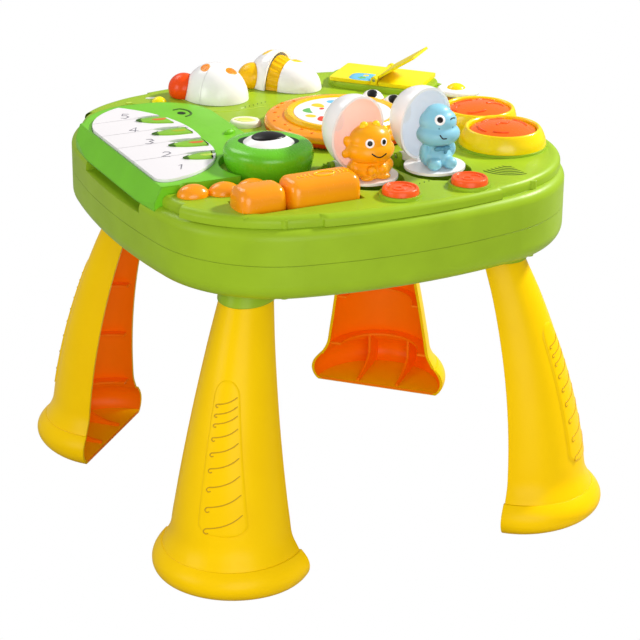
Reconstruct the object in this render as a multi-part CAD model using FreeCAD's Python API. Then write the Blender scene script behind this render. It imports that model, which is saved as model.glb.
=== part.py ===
import FreeCAD, Part
import math
import os

# Musical activity table for a small child: a rounded green tray on four splayed
# half-shell legs. The tray holds a keyboard shaped like a reptile's head, press
# buttons, rollers, a turntable, pop-up eggs, drum pads, a book and sliding eggs.
# Millimetres. Origin on the floor under the tray's centre, +Z up, +X to the right
# along the front side, +Y to the back.

V = FreeCAD.Vector
X_AXIS = V(1, 0, 0)
Y_AXIS = V(0, 1, 0)
Z_AXIS = V(0, 0, 1)
PARTS = "parts"

# Tray
TRAY_WIDTH = 420.0
TRAY_DEPTH = 435.0
FRONT_ARC = 520.0
SIDE_ARC = 700.0
CORNER_ARC = 120.0
TRAY_BOTTOM = 274.0
SEAM_HEIGHT = 308.5
SHOULDER_HEIGHT = 340.0
DECK_HEIGHT = 350.0
DECK_INSET = 9.0
WALL = 3.0
DECK_WALL = 3.5
BOTTOM_ROUND = 15.0
SHOULDER_ROUND = 9.0
LIP_ROUND = 6.0
SEAT_GAP = 0.3
RUN_GAP = 0.6
PIN_GAP = 0.05

# Legs
LEG_FACE_LOW = 153.3
LEG_FACE_TOP = 123.3
LEG_FACE_BOW = 6.7
LEG_HALF_WIDTH_LOW = 57.5
LEG_HALF_WIDTH_TOP = 23.5
LEG_DEPTH_LOW = 61.0
LEG_DEPTH_TOP = 31.0
LEG_WALL = 3.0
SHANK_LOW = 42.0
SHANK_TOP = 264.0
FOOT_FACE = 152.8
FOOT_HALF_WIDTH = 74.5
FOOT_DEPTH = 78.0
FOOT_HEIGHT = 30.0
FOOT_FLOOR = 3.0
FLARE_TOP = 47.0
FLARE_SINK = 1.0
SHANK_SPANS = 9
RIB_THICK = 2.5
SHELF_HEIGHT = 41.0
RIB_HEIGHTS = (98.0, 157.0, 216.0)
SHELF_REACH = 12.0
LIP_REACH = 9.0
LIP_SETBACK = 5.0
FOOT_RIB_OFFSET = 22.0
SOCKET_DEPTH = 22.0
COLLAR_DROP = 8.0
COLLAR_WALL = 3.5
FIT_GAP = 0.3

# Keyboard
HEAD_TOP = 357.5
HEAD_LOW = 336.0
HEAD_FRONT_Y = -96.0
HEAD_RIGHT_X = -64.0
HEAD_FACE_TOP_X = -195.0
HEAD_DROP_X = -188.0
HEAD_FACE_LOW_X = -206.0
KEY_FLOOR = 353.0
KEY_TOP = 360.0
KEY_THICK = 3.6
KEY_GAP = 0.6
KEY_LINES = (-90.0, -25.0, 15.0, 54.5, 93.5, 140.0)
KEY_FOOT_X = -126.0
KEY_FOOT_WIDTH = 3.0
LEAF_LENGTH = 36.0
LEAF_WIDTH = 9.5
LEAF_LEFT_X = -144.0
LEAF_SLANT = -12.0
LEAF_RISE = 0.8
SLOT_LOW = 327.0
SLOT_Y = (-70.0, 60.0)
SLOT_DEEP_X = -196.0

# Toe buttons
TOE_X = (-169.0, -142.0, -115.0)
TOE_Y = (-104.0, -108.5, -112.0)
TOE_HALF_X = 12.2
TOE_HALF_Y = 10.0
TOE_RISE = 9.0

# Eye knob
KNOB_X = -80.0
KNOB_Y = -71.0
KNOB_RADIUS = 41.5
KNOB_HEIGHT = 28.0
KNOB_ROUND = 9.0
KNOB_STEM_RADIUS = 7.0
EYE_RADIUS = 25.0
EYE_DEPTH = 5.0
EYE_RISE = 4.0

# Leaf button
LEAF_BUTTON = (-43.0, 62.0)
LEAF_BUTTON_HALF = (15.0, 12.5)

# Rollers
ROLLER_Y = -155.0
ROLLER_Z = 353.0
ROLLER_RADIUS = 19.5
SMALL_ROLLER = (-147.0, -107.0)
LARGE_ROLLER = (-104.0, -37.0)
ROLLER_ROUND = 8.0
AXLE_RADIUS = 3.0

# Turntable
TABLE_X = 38.0
TABLE_Y = 15.0
TABLE_RADIUS = 75.0
TABLE_TOP = 362.0
RING_RADIUS = 56.0
RING_TOP = 367.0
DISC_RADIUS = 47.0
SPINDLE_RADIUS = 5.0
EYE_BRIDGE_ANGLES = (5.0, 55.0)

# Pop-up eggs: each lid is a hood with a shelf for its figure, turning on one pin
EGG_HINGES = ((-14.5, -86.5), (54.0, -87.5))
EGG_HINGE_Z = 352.0
EGG_TURN = 8.6
SHELL_HALF_WIDTH = 28.5
SHELL_HALF_HEIGHT = 34.5
SHELL_DEPTH = 40.0
SHELL_WALL = 2.4
SHELL_LEAN = 5.0
SHELL_FOOT = 4.0
SHELL_AHEAD = 23.0
SHELF_HALF_WIDTH = 28.5
SHELF_START = 14.0
SHELF_END = 68.5
SHELF_TOP = 1.5
SHELF_THICK = 2.5
NECK_HALF_WIDTH = 8.0
WELL_HALF_WIDTH = 31.5
WELL_MIDDLE = 42.0
WELL_LENGTH = 78.0
WELL_BACK = 8.0
WELL_BACK_ROUND = 22.0
WELL_DEPTH = 70.5
WELL_WALL = 1.2
PIN_RADIUS = 2.0
LUG_WIDTH = 5.0
FIGURE_AHEAD = (44.0, 42.5)

# Release buttons
RELEASE_PLACES = ((-3.5, -182.5), (65.5, -183.5))
RELEASE_FLANGE = 0.8
RELEASE_RADIUS = 16.5
RELEASE_RISE = 8.0
RELEASE_COLLAR_WALL = 2.6
RELEASE_COLLAR_RISE = 3.0

# Drums
DRUMS = ((152.0, -93.0), (163.0, -28.0))
DRUM_BASE_RADII = (40.0, 36.5)
DRUM_TOP_RADII = (35.5, 34.5)
DRUM_COLLAR = 2.5
DRUM_RISE = 16.0
PAD_RADIUS = 30.5
PAD_DOME = 6.0

# Fried egg button
FRIED_X = 181.0
FRIED_Y = 43.0
FRIED_RADIUS = 21.5
FRIED_THICK = 6.0
FRIED_BASE_RADIUS = 14.0
FRIED_BASE_RISE = 6.0
YOLK_RADIUS = 9.5

# Speaker
GRILLE_X = 126.0
GRILLE_Y = -147.0
GRILLE_ANGLES = (192.0, 276.0)
GRILLE_SLOTS = 6
GRILLE_STEP = 4.6
GRILLE_SLOT = 1.8
SPEAKER_RADIUS = 20.0
SPEAKER_DEEP = 16.0

# Book
BOOK_X = 141.0
BOOK_Y = 130.0
BOOK_TURN = 43.0
BOOK_HALF_LENGTH = 56.0
BOOK_HALF_WIDTH = 32.0
BOOK_BASE_RISE = 6.0
PAGE_WIDTH = 44.0
PAGE_LENGTH = 56.0
COVER_THICK = 3.6
PAGE_THICK = 2.4
PAGE_TILT = 33.0
BOOK_PIN_RADIUS = 1.6

# Sliding eggs: the front cap and its ribbed core slide into the fixed back half
SLIDE_EGGS = ((-33.0, 156.0), (44.0, 172.0))
SLIDE_TURN = 34.0
SLIDE_HALF_LENGTH = 34.0
SLIDE_HALF_WIDTH = 29.5
SLIDE_HEIGHT = 35.5
SLIDE_WALL = 2.4
SLIDE_CAPS = ((29.5, 35.5), (25.5, 27.5))
SLIDE_OPEN = (0.0, 13.0)
SLIDE_SEAM = 0.3
CORE_BACK = (24.2, 29.6)
CORE_FRONT = (22.2, 24.2)
CORE_LENGTH = 14.0
BALLS = ((-60.0, 174.0), (18.0, 180.0))
BALL_RADIUS = 15.5
BALL_LIFT = 8.0

# Small controls
LENS_PLACE = (-90.0, 166.0)
LENS_RADIUS = 7.5
SWITCH_PLACE = (-122.0, 166.0)
SWITCH_TRAVEL = 4.0

# Inside
PRESS_TRAVEL = 3.0
FLANGE = 2.0
FLANGE_THICK = 1.6
BATTERY_RADIUS = 7.2
BATTERY_LENGTH = 50.0
BATTERY_PLACE = (-50.0, 60.0)
BATTERY_BOX = (64.0, 56.0, 21.0)
SCREW_RADIUS = 1.5
BOSS_RADIUS = 4.2
BOARD = (96.0, 60.0, 1.6)
BOARD_HEIGHT = 300.0


# Small helpers
def box(x0, x1, y0, y1, z0, z1):
    return Part.makeBox(x1 - x0, y1 - y0, z1 - z0, V(x0, y0, z0))


def rod(x, y, z0, z1, radius):
    return Part.makeCylinder(radius, z1 - z0, V(x, y, z0), Z_AXIS)


def cone(x, y, z0, z1, low_radius, top_radius):
    return Part.makeCone(low_radius, top_radius, z1 - z0, V(x, y, z0), Z_AXIS)


def arc(a, b, c):
    return Part.Arc(a, b, c).toShape()


def line(a, b):
    return Part.LineSegment(a, b).toShape()


def prism(wire, z0, z1):
    face = Part.Face(wire)
    face.translate(V(0, 0, z0))
    return face.extrude(V(0, 0, z1 - z0))


def edges_at(shape, z, tolerance=0.01):
    found = []
    for edge in shape.Edges:
        bounds = edge.BoundBox
        if abs(bounds.ZMin - z) < tolerance and abs(bounds.ZMax - z) < tolerance:
            found.append(edge)
    return found


def round_edges(shape, z, radius):
    return shape.makeFillet(radius, edges_at(shape, z))


def turned(shape, degrees, centre=V(0, 0, 0), axis=Z_AXIS):
    copy = shape.copy()
    copy.rotate(centre, axis, degrees)
    return copy


def moved(shape, x, y, z=0.0):
    copy = shape.copy()
    copy.translate(V(x, y, z))
    return copy


def lathe(points):
    """Solid of revolution about Z from (radius, z) points joined by straight lines."""
    wire = Part.makePolygon([V(r, 0, z) for r, z in points + points[:1]])
    return Part.Face(wire).revolve(V(0, 0, 0), Z_AXIS, 360)


def dome(radius, height, x, y, z):
    """Cap of a ball standing on the height z."""
    ball = (radius * radius + height * height) / (2 * height)
    half_angle = math.asin(radius / ball) / 2
    rim = V(radius, 0, 0)
    middle = V(ball * math.sin(half_angle), 0, height - ball + ball * math.cos(half_angle))
    top = V(0, 0, height)
    wire = Part.Wire([arc(rim, middle, top), line(top, V(0, 0, 0)), line(V(0, 0, 0), rim)])
    return moved(Part.Face(wire).revolve(V(0, 0, 0), Z_AXIS, 360), x, y, z)


def stretched(shape, x, y, z):
    matrix = FreeCAD.Matrix()
    matrix.scale(x, y, z)
    return shape.transformGeometry(matrix)


def ellipsoid(half_x, half_y, half_z):
    return stretched(turned(Part.makeSphere(1.0), -90.0), half_x, half_y, half_z)


def oval_wire(half_x, half_y, z=0.0):
    if half_x >= half_y:
        curve = Part.Ellipse(V(half_x, 0, z), V(0, half_y, z), V(0, 0, z))
    else:
        curve = Part.Ellipse(V(0, half_y, z), V(-half_x, 0, z), V(0, 0, z))
    return Part.Wire(curve.toShape())


def oval_rod(x, y, z0, z1, half_x, half_y):
    return moved(prism(oval_wire(half_x, half_y), z0, z1), x, y)


def rounded_box_wire(x0, x1, y0, y1, radius):
    k = radius * (1 - math.sqrt(0.5))
    corners = [
        line(V(x0 + radius, y0, 0), V(x1 - radius, y0, 0)),
        arc(V(x1 - radius, y0, 0), V(x1 - k, y0 + k, 0), V(x1, y0 + radius, 0)),
        line(V(x1, y0 + radius, 0), V(x1, y1 - radius, 0)),
        arc(V(x1, y1 - radius, 0), V(x1 - k, y1 - k, 0), V(x1 - radius, y1, 0)),
        line(V(x1 - radius, y1, 0), V(x0 + radius, y1, 0)),
        arc(V(x0 + radius, y1, 0), V(x0 + k, y1 - k, 0), V(x0, y1 - radius, 0)),
        line(V(x0, y1 - radius, 0), V(x0, y0 + radius, 0)),
        arc(V(x0, y0 + radius, 0), V(x0 + k, y0 + k, 0), V(x0 + radius, y0, 0)),
    ]
    return Part.Wire(corners)


def save(name, shape):
    shape.exportStep(os.path.join(PARTS, name + ".step"))
    print(name, len(shape.Solids), round(shape.Volume / 1000.0, 2), shape.isValid())


# Tray outline: four shallow side arcs joined by corner arcs, all tangent
def corner_centre():
    half_x, half_y = TRAY_WIDTH / 2, TRAY_DEPTH / 2
    front = V(0, half_y - FRONT_ARC, 0)
    side = V(half_x - SIDE_ARC, 0, 0)
    r1, r2 = FRONT_ARC - CORNER_ARC, SIDE_ARC - CORNER_ARC
    gap = side.sub(front)
    length = gap.Length
    along = (r1 * r1 - r2 * r2 + length * length) / (2 * length)
    across = math.sqrt(r1 * r1 - along * along)
    unit = V(gap.x / length, gap.y / length, 0)
    normal = V(-unit.y, unit.x, 0)
    spots = [front + unit * along + normal * s * across for s in (1, -1)]
    return max(spots, key=lambda p: p.x + p.y)


CORNER = corner_centre()


def tray_outline(inset):
    half_x, half_y = TRAY_WIDTH / 2, TRAY_DEPTH / 2
    front = V(0, half_y - FRONT_ARC, 0)
    side = V(half_x - SIDE_ARC, 0, 0)
    radius = CORNER_ARC - inset
    to_front = CORNER.sub(front).normalize()
    to_side = CORNER.sub(side).normalize()
    a = CORNER + to_front * radius
    b = CORNER + to_side * radius
    bend = CORNER + (to_front + to_side).normalize() * radius
    flip = lambda p, sx, sy: V(p.x * sx, p.y * sy, 0)
    top = V(0, half_y - inset, 0)
    right = V(half_x - inset, 0, 0)
    edges = [
        arc(flip(a, -1, 1), top, a),
        arc(a, bend, b),
        arc(b, right, flip(b, 1, -1)),
        arc(flip(b, 1, -1), flip(bend, 1, -1), flip(a, 1, -1)),
        arc(flip(a, 1, -1), flip(top, 1, -1), flip(a, -1, -1)),
        arc(flip(a, -1, -1), flip(bend, -1, -1), flip(b, -1, -1)),
        arc(flip(b, -1, -1), flip(right, -1, 1), flip(b, -1, 1)),
        arc(flip(b, -1, 1), flip(bend, -1, 1), flip(a, -1, 1)),
    ]
    return Part.Wire(edges)


def tray_slab(inset, z0, z1):
    return prism(tray_outline(inset), z0, z1)


BOSS_PLACES = [
    (-183.0, -40.0), (-120.0, -190.0), (25.0, -198.0), (128.0, -188.0),
    (192.0, 5.0), (150.0, 92.0), (5.0, 197.0), (-125.0, 186.0),
]


# Legs: each section is half an oval, flat towards the table's centre
def blend(low, top, bow, t):
    return low * (1 - t) + top * t + bow * 4 * t * (1 - t)


def shank_section(z):
    t = (min(z, SHANK_TOP) - SHANK_LOW) / (SHANK_TOP - SHANK_LOW)
    face = blend(LEG_FACE_LOW, LEG_FACE_TOP, LEG_FACE_BOW, t) * math.sqrt(2)
    half = blend(LEG_HALF_WIDTH_LOW, LEG_HALF_WIDTH_TOP, 0.0, t)
    deep = blend(LEG_DEPTH_LOW, LEG_DEPTH_TOP, 1.0, t)
    return face, half, deep


FOOT_SHAPE = ((0.0, 0.895, 0.78), (0.14, 0.955, 0.92), (0.45, 1.0, 1.0), (0.8, 0.955, 0.96), (1.0, 0.89, 0.885))
FLARE_SHAPE = ((0.0, 5.5), (0.3, 3.6), (0.65, 1.2), (1.0, 0.0))


def foot_sections():
    rows = []
    for share, wide, deep in FOOT_SHAPE:
        rows.append((share * FOOT_HEIGHT, FOOT_FACE * math.sqrt(2), FOOT_HALF_WIDTH * wide, FOOT_DEPTH * deep))
    return rows


def shank_sections():
    """From just inside the foot, through the flare, up to the socket."""
    rows = []
    low = FOOT_HEIGHT - FLARE_SINK
    for share, wider in FLARE_SHAPE:
        z = low + share * (FLARE_TOP - low)
        face, half, deep = shank_section(z)
        rows.append((z, face, half + wider, deep + wider))
    for k in range(1, SHANK_SPANS + 1):
        z = FLARE_TOP + (SHANK_TOP - FLARE_TOP) * (k / SHANK_SPANS) ** 1.5
        rows.append((z, *shank_section(z)))
    return rows


def section_wire(z, face, half, deep, trim=0.0, reach=0.0):
    """Half oval at height z, drawn in by trim and carried past its flat face by reach."""
    half -= trim
    deep -= trim
    steps = [V(half * math.cos(a), face + deep * math.sin(a), z) for a in
             (0, math.pi / 4, math.pi / 2, 3 * math.pi / 4, math.pi)]
    if half > deep:
        curve = Part.Ellipse(V(half, face, z), V(0, face + deep, z), V(0, face, z))
    else:
        curve = Part.Ellipse(V(0, face + deep, z), V(-half, face, z), V(0, face, z))
    edges = []
    for start, end in ((0, 2), (2, 4)):
        first = curve.parameter(steps[start])
        last = curve.parameter(steps[end])
        if last < first:
            last += 2 * math.pi
        edges.append(Part.ArcOfEllipse(curve, first, last).toShape())
    right, left = steps[0], steps[4]
    if reach:
        low = V(0, -reach, 0)
        edges += [line(left, left + low), line(left + low, right + low), line(right + low, right)]
    else:
        edges.append(line(left, right))
    return Part.Wire(Part.__sortEdges__(edges))


def loft(wires):
    return Part.makeLoft(wires, True, False)


def leg_solid():
    plug_top = TRAY_BOTTOM + SOCKET_DEPTH - COLLAR_DROP
    top = shank_section(SHANK_TOP)
    outer = loft([section_wire(*row) for row in foot_sections()])
    outer = outer.fuse([
        loft([section_wire(*row) for row in shank_sections()]),
        prism(section_wire(0, *top), SHANK_TOP, plug_top),
    ])
    hollow_foot = loft([section_wire(*row, LEG_WALL, 60.0) for row in foot_sections()])
    floor_plate = box(-200, 200, -200, 400, -1, FOOT_FLOOR)
    hollows = [
        hollow_foot.cut(floor_plate),
        loft([section_wire(*row, LEG_WALL, 60.0) for row in shank_sections()]),
        prism(section_wire(0, *top, LEG_WALL, 60.0), SHANK_TOP, plug_top - LEG_WALL),
    ]
    leg = outer
    for hollow in hollows:
        leg = leg.cut(hollow)
    return leg.fuse(leg_lips() + foot_ribs(outer))


def leg_lips():
    """Narrow shelves round the inside of the shank, standing back from its open face."""
    lips = []
    for z in (SHELF_HEIGHT,) + RIB_HEIGHTS:
        reach = SHELF_REACH if z == SHELF_HEIGHT else LIP_REACH
        face, half, deep = shank_section(z)
        if z < FLARE_TOP:
            half, deep = half + 1.0, deep + 1.0
        plate = prism(section_wire(0, face, half, deep, LEG_WALL / 2), z, z + RIB_THICK)
        plate = plate.cut(prism(section_wire(0, face, half, deep, LEG_WALL + reach, 60.0), z - 1, z + 5))
        lips.append(plate.cut(box(-200, 200, 0, face + LIP_SETBACK, z - 1, z + 5)))
    return lips


def foot_ribs(outer):
    """Two upright ribs from the shelf down to the foot's floor, sweeping out to the open face."""
    face, half, deep = shank_section(SHELF_HEIGHT)
    share = math.sqrt(1 - (FOOT_RIB_OFFSET / half) ** 2)
    back = face + deep * share - LEG_WALL - SHELF_REACH
    front = FOOT_FACE * math.sqrt(2) + 3.0
    top = SHELF_HEIGHT + RIB_THICK / 2
    corner = V(0, back, 0.5 * SHELF_HEIGHT)
    toe = V(0, front, 6.0)
    bend = V(0, back - 0.42 * (back - front), 0.25 * SHELF_HEIGHT)
    edges = [
        line(V(0, back, top), corner),
        Part.Arc(corner, bend, toe).toShape(),
        line(toe, V(0, front, 0)),
        line(V(0, front, 0), V(0, face + 2 * deep, 0)),
        line(V(0, face + 2 * deep, 0), V(0, face + 2 * deep, top)),
        line(V(0, face + 2 * deep, top), V(0, back, top)),
    ]
    blade = Part.Face(Part.Wire(edges)).extrude(V(RIB_THICK, 0, 0))
    return [moved(blade, side * FOOT_RIB_OFFSET - RIB_THICK / 2, 0, 0).common(outer) for side in (-1, 1)]


LEG_TURNS = {"leg_front_left": 135.0, "leg_front_right": 225.0, "leg_back_right": 315.0, "leg_back_left": 45.0}


def leg_places(shape):
    return {name: turned(shape, degrees) for name, degrees in LEG_TURNS.items()}


# Pop-up eggs are drawn about their hinge pin, facing the front, then turned and placed
def egg_place(shape, index, z=EGG_HINGE_Z):
    x, y = EGG_HINGES[index]
    return moved(turned(shape, EGG_TURN), x, y, z)


def well_prism(index, grow, z0, z1):
    """The well's outline: half an oval in front, a straight run and rounded back corners."""
    wide = WELL_HALF_WIDTH + grow
    front = -WELL_LENGTH - grow
    back = WELL_BACK + grow
    middle = -WELL_MIDDLE
    r = WELL_BACK_ROUND
    k = r * (1 - math.sqrt(0.5))
    half = Part.Ellipse(V(0, front, 0), V(wide, middle, 0), V(0, middle, 0))
    first = half.parameter(V(-wide, middle, 0))
    last = half.parameter(V(wide, middle, 0))
    low, high = min(first, last), max(first, last)
    if half.value((low + high) / 2).y > middle:
        low, high = high, low + 2 * math.pi
    edges = [
        Part.ArcOfEllipse(half, low, high).toShape(),
        line(V(wide, middle, 0), V(wide, back - r, 0)),
        arc(V(wide, back - r, 0), V(wide - k, back - k, 0), V(wide - r, back, 0)),
        line(V(wide - r, back, 0), V(r - wide, back, 0)),
        arc(V(r - wide, back, 0), V(k - wide, back - k, 0), V(-wide, back - r, 0)),
        line(V(-wide, back - r, 0), V(-wide, middle, 0)),
    ]
    wire = Part.Wire(Part.__sortEdges__(edges))
    return egg_place(prism(wire, z0, z1), index, 0.0)


def hinge_lug(index, side):
    near = NECK_HALF_WIDTH + RUN_GAP
    a, b = sorted((side * near, side * (near + LUG_WIDTH)))
    post = box(a, b, -3.5, WELL_BACK + 1, -9.0, 0.0)
    eye = Part.makeCylinder(3.6, b - a, V(a, 0, 0), X_AXIS)
    bore = Part.makeCylinder(PIN_RADIUS, b - a + 2, V(a - 1, 0, 0), X_AXIS)
    return egg_place(post.fuse(eye).cut(bore), index)


# Keyboard plan
def key_area(grow):
    """Plan of the white keys: straight outer side, rounded ends and a bowed inner side."""
    g = grow
    points = [V(-193 - g, 74, 0), V(-193 - g, -74, 0)]
    edges = [
        line(points[0], points[1]),
        arc(V(-193 - g, -74, 0), V(-189.5 - g * 0.7, -82 - g * 0.7, 0), V(-181, -85 - g, 0)),
        arc(V(-181, -85 - g, 0), V(-129 + g * 0.7, -56 - g * 0.7, 0), V(-111 + g, 8, 0)),
        arc(V(-111 + g, 8, 0), V(-120 + g * 0.8, 96 + g * 0.4, 0), V(-146, 133 + g, 0)),
        arc(V(-146, 133 + g, 0), V(-176 - g * 0.7, 112 + g * 0.7, 0), V(-193 - g, 74, 0)),
    ]
    return Part.Wire(edges)


def head_outline():
    """Plan of the green head that carries the keys."""
    corner = [
        line(V(-225, 88, 0), V(-225, -80, 0)),
        line(V(-225, -80, 0), V(-206, HEAD_FRONT_Y, 0)),
        line(V(-206, HEAD_FRONT_Y, 0), V(-90, HEAD_FRONT_Y, 0)),
        line(V(-90, HEAD_FRONT_Y, 0), V(HEAD_RIGHT_X, -27, 0)),
        line(V(HEAD_RIGHT_X, -27, 0), V(HEAD_RIGHT_X, 98, 0)),
        arc(V(HEAD_RIGHT_X, 98, 0), V(-84, 132, 0), V(-122, 144, 0)),
        arc(V(-122, 144, 0), V(-166, 136, 0), V(-190, 110, 0)),
        line(V(-190, 110, 0), V(-225, 88, 0)),
    ]
    return Part.Wire(corner)


def face_cutter():
    """Everything outside the head's sloped outer face."""
    far = -260.0
    points = [V(HEAD_FACE_TOP_X, 0, HEAD_TOP), V(HEAD_FACE_LOW_X, 0, HEAD_LOW), V(HEAD_FACE_LOW_X, 0, 300.0),
              V(far, 0, 300.0), V(far, 0, 400.0), V(HEAD_FACE_TOP_X + 9.5, 0, 400.0)]
    slope = (HEAD_FACE_TOP_X - HEAD_FACE_LOW_X) / (HEAD_TOP - HEAD_LOW)
    points[-1] = V(HEAD_FACE_TOP_X + slope * (400.0 - HEAD_TOP), 0, 400.0)
    wire = Part.makePolygon(points + points[:1])
    wire.translate(V(0, -300, 0))
    return Part.Face(wire).extrude(V(0, 600, 0))


def leaf_prism(y, grow, z0, z1):
    half, wide = LEAF_LENGTH / 2 + grow, LEAF_WIDTH / 2 + grow
    wire = Part.Wire([
        arc(V(-half, 0, 0), V(0, -wide, 0), V(half, 0, 0)),
        arc(V(half, 0, 0), V(0, wide, 0), V(-half, 0, 0)),
    ])
    leaf = turned(prism(wire, z0, z1), LEAF_SLANT)
    return moved(leaf, LEAF_LEFT_X + LEAF_LENGTH / 2, y - 3.0)


def key_leaf_prisms(grow, z0, z1):
    return [leaf_prism(y, grow, z0, z1) for y in KEY_LINES[1:-1]]


def toe_prism(index, grow, z0, z1):
    return oval_rod(TOE_X[index], TOE_Y[index], z0, z1, TOE_HALF_X + grow, TOE_HALF_Y + grow)


def make_keyboard():
    block = prism(head_outline(), HEAD_LOW, HEAD_TOP)
    block = block.common(tray_slab(1.5, HEAD_LOW, HEAD_TOP)).cut(face_cutter())
    block = block.cut(box(HEAD_DROP_X - SEAT_GAP, 0, -300, 300, 0, DECK_HEIGHT))
    knob_room = rod(KNOB_X, KNOB_Y, HEAD_LOW, HEAD_TOP + 5, KNOB_RADIUS + 4.0)
    block = block.cut(knob_room)
    for index in range(len(TOE_X)):
        block = block.cut(toe_prism(index, RUN_GAP, HEAD_LOW, HEAD_TOP + 5))
    pocket = prism(key_area(KEY_GAP), KEY_FLOOR, HEAD_TOP + 5)
    block = block.cut(pocket)
    block = max(block.Solids, key=lambda s: s.Volume)
    save("keyboard_housing", block)
    leaves = [leaf.common(prism(key_area(0), KEY_FLOOR, KEY_TOP + LEAF_RISE)) for leaf in
              key_leaf_prisms(0.0, KEY_FLOOR, KEY_TOP + LEAF_RISE)]
    save("key_leaves", Part.makeCompound(leaves))
    return block


def make_keys():
    area = key_area(0.0)
    slots = key_leaf_prisms(KEY_GAP, KEY_FLOOR - 1, KEY_TOP + 5)
    for index in range(5):
        low = KEY_LINES[index] + KEY_GAP / 2
        high = KEY_LINES[index + 1] - KEY_GAP / 2
        band = box(-260, 0, low, high, 300, 400)
        key = prism(area, KEY_TOP - KEY_THICK, KEY_TOP).common(band)
        for slot in slots:
            key = key.cut(slot)
        middle = (low + high) / 2
        foot = box(KEY_FOOT_X - KEY_FOOT_WIDTH, KEY_FOOT_X, middle - 6, middle + 6,
                   KEY_FLOOR + SEAT_GAP, KEY_TOP - KEY_THICK + 0.5)
        if index in (0, 4):
            foot = moved(foot, -20.0, 12.0 if index == 0 else -8.0)
        key = key.fuse(foot).removeSplitter()
        key = max(key.Solids, key=lambda s: s.Volume)
        save("white_key_%d" % (index + 1), key)


def plunger(x, y, z, radius):
    """Stem and retaining flange under a press button whose cap starts at height z."""
    under = DECK_HEIGHT - DECK_WALL
    stem = rod(x, y, under - FLANGE_THICK - SEAT_GAP, z, radius)
    flange = rod(x, y, under - SEAT_GAP - FLANGE_THICK, under - SEAT_GAP, radius + FLANGE)
    return stem.fuse(flange)


def make_toe_buttons():
    under = DECK_HEIGHT - DECK_WALL - SEAT_GAP
    for index in range(len(TOE_X)):
        cap = stretched(dome(TOE_HALF_Y, TOE_RISE, 0, 0, 0), TOE_HALF_X / TOE_HALF_Y, 1, 1)
        cap = moved(cap, TOE_X[index], TOE_Y[index], DECK_HEIGHT)
        body = toe_prism(index, 0.0, DECK_HEIGHT - DECK_WALL - PRESS_TRAVEL, DECK_HEIGHT)
        flange = toe_prism(index, FLANGE / 2, under - FLANGE_THICK, under)
        save("toe_button_%d" % (index + 1), cap.fuse([body, flange]).removeSplitter())


def make_eye_knob():
    top = DECK_HEIGHT + KNOB_HEIGHT
    drum = rod(KNOB_X, KNOB_Y, DECK_HEIGHT + SEAT_GAP, top, KNOB_RADIUS)
    drum = round_edges(drum, top, KNOB_ROUND)
    stem = rod(KNOB_X, KNOB_Y, DECK_HEIGHT - DECK_WALL - 6, DECK_HEIGHT + 1, KNOB_STEM_RADIUS)
    clip = rod(KNOB_X, KNOB_Y, DECK_HEIGHT - DECK_WALL - SEAT_GAP - 2,
               DECK_HEIGHT - DECK_WALL - SEAT_GAP, KNOB_STEM_RADIUS + 2)
    drum = drum.fuse([stem, clip])
    socket = rod(KNOB_X, KNOB_Y, top - EYE_DEPTH, top + 1, EYE_RADIUS + FIT_GAP)
    save("eye_knob", drum.cut(socket).removeSplitter())
    eye = rod(KNOB_X, KNOB_Y, top - EYE_DEPTH, top - 1, EYE_RADIUS)
    bulge = dome(EYE_RADIUS, EYE_RISE + 1, KNOB_X, KNOB_Y, top - 1)
    save("eye_ball", eye.fuse(bulge).removeSplitter())


def make_leaf_button():
    x, y = LEAF_BUTTON
    half_x, half_y = LEAF_BUTTON_HALF
    cap = oval_rod(x, y, DECK_HEIGHT - DECK_WALL - PRESS_TRAVEL, DECK_HEIGHT + 5, half_x, half_y)
    cap = round_edges(cap, DECK_HEIGHT + 5, 2.0)
    under = DECK_HEIGHT - DECK_WALL - SEAT_GAP
    flange = oval_rod(x, y, under - FLANGE_THICK, under, half_x + FLANGE, half_y + FLANGE)
    save("leaf_button", cap.fuse(flange).removeSplitter())


def roller(x0, x1, radius):
    body = Part.makeCylinder(radius, x1 - x0, V(x0, ROLLER_Y, ROLLER_Z), X_AXIS)
    body = body.makeFillet(ROLLER_ROUND, [e for e in body.Edges if abs(e.Length - 2 * math.pi * radius) < 0.1])
    bore = Part.makeCylinder(AXLE_RADIUS + PIN_GAP, x1 - x0 + 2, V(x0 - 1, ROLLER_Y, ROLLER_Z), X_AXIS)
    return body.cut(bore)


def roller_room():
    x0, x1 = SMALL_ROLLER[0] - 2.0, LARGE_ROLLER[1] + 2.0
    room = Part.makeCylinder(ROLLER_RADIUS + 1.5, x1 - x0, V(x0, ROLLER_Y, ROLLER_Z), X_AXIS)
    return room, x0, x1


def make_rollers():
    save("small_roller", roller(*SMALL_ROLLER, ROLLER_RADIUS - 1.0))
    save("large_roller", roller(*LARGE_ROLLER, ROLLER_RADIUS))
    _, x0, x1 = roller_room()
    axle = Part.makeCylinder(AXLE_RADIUS, x1 - x0 + 4, V(x0 - 2, ROLLER_Y, ROLLER_Z), X_AXIS)
    save("roller_axle", axle)


def table_lathe(points):
    return moved(lathe(points), TABLE_X, TABLE_Y)


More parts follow.
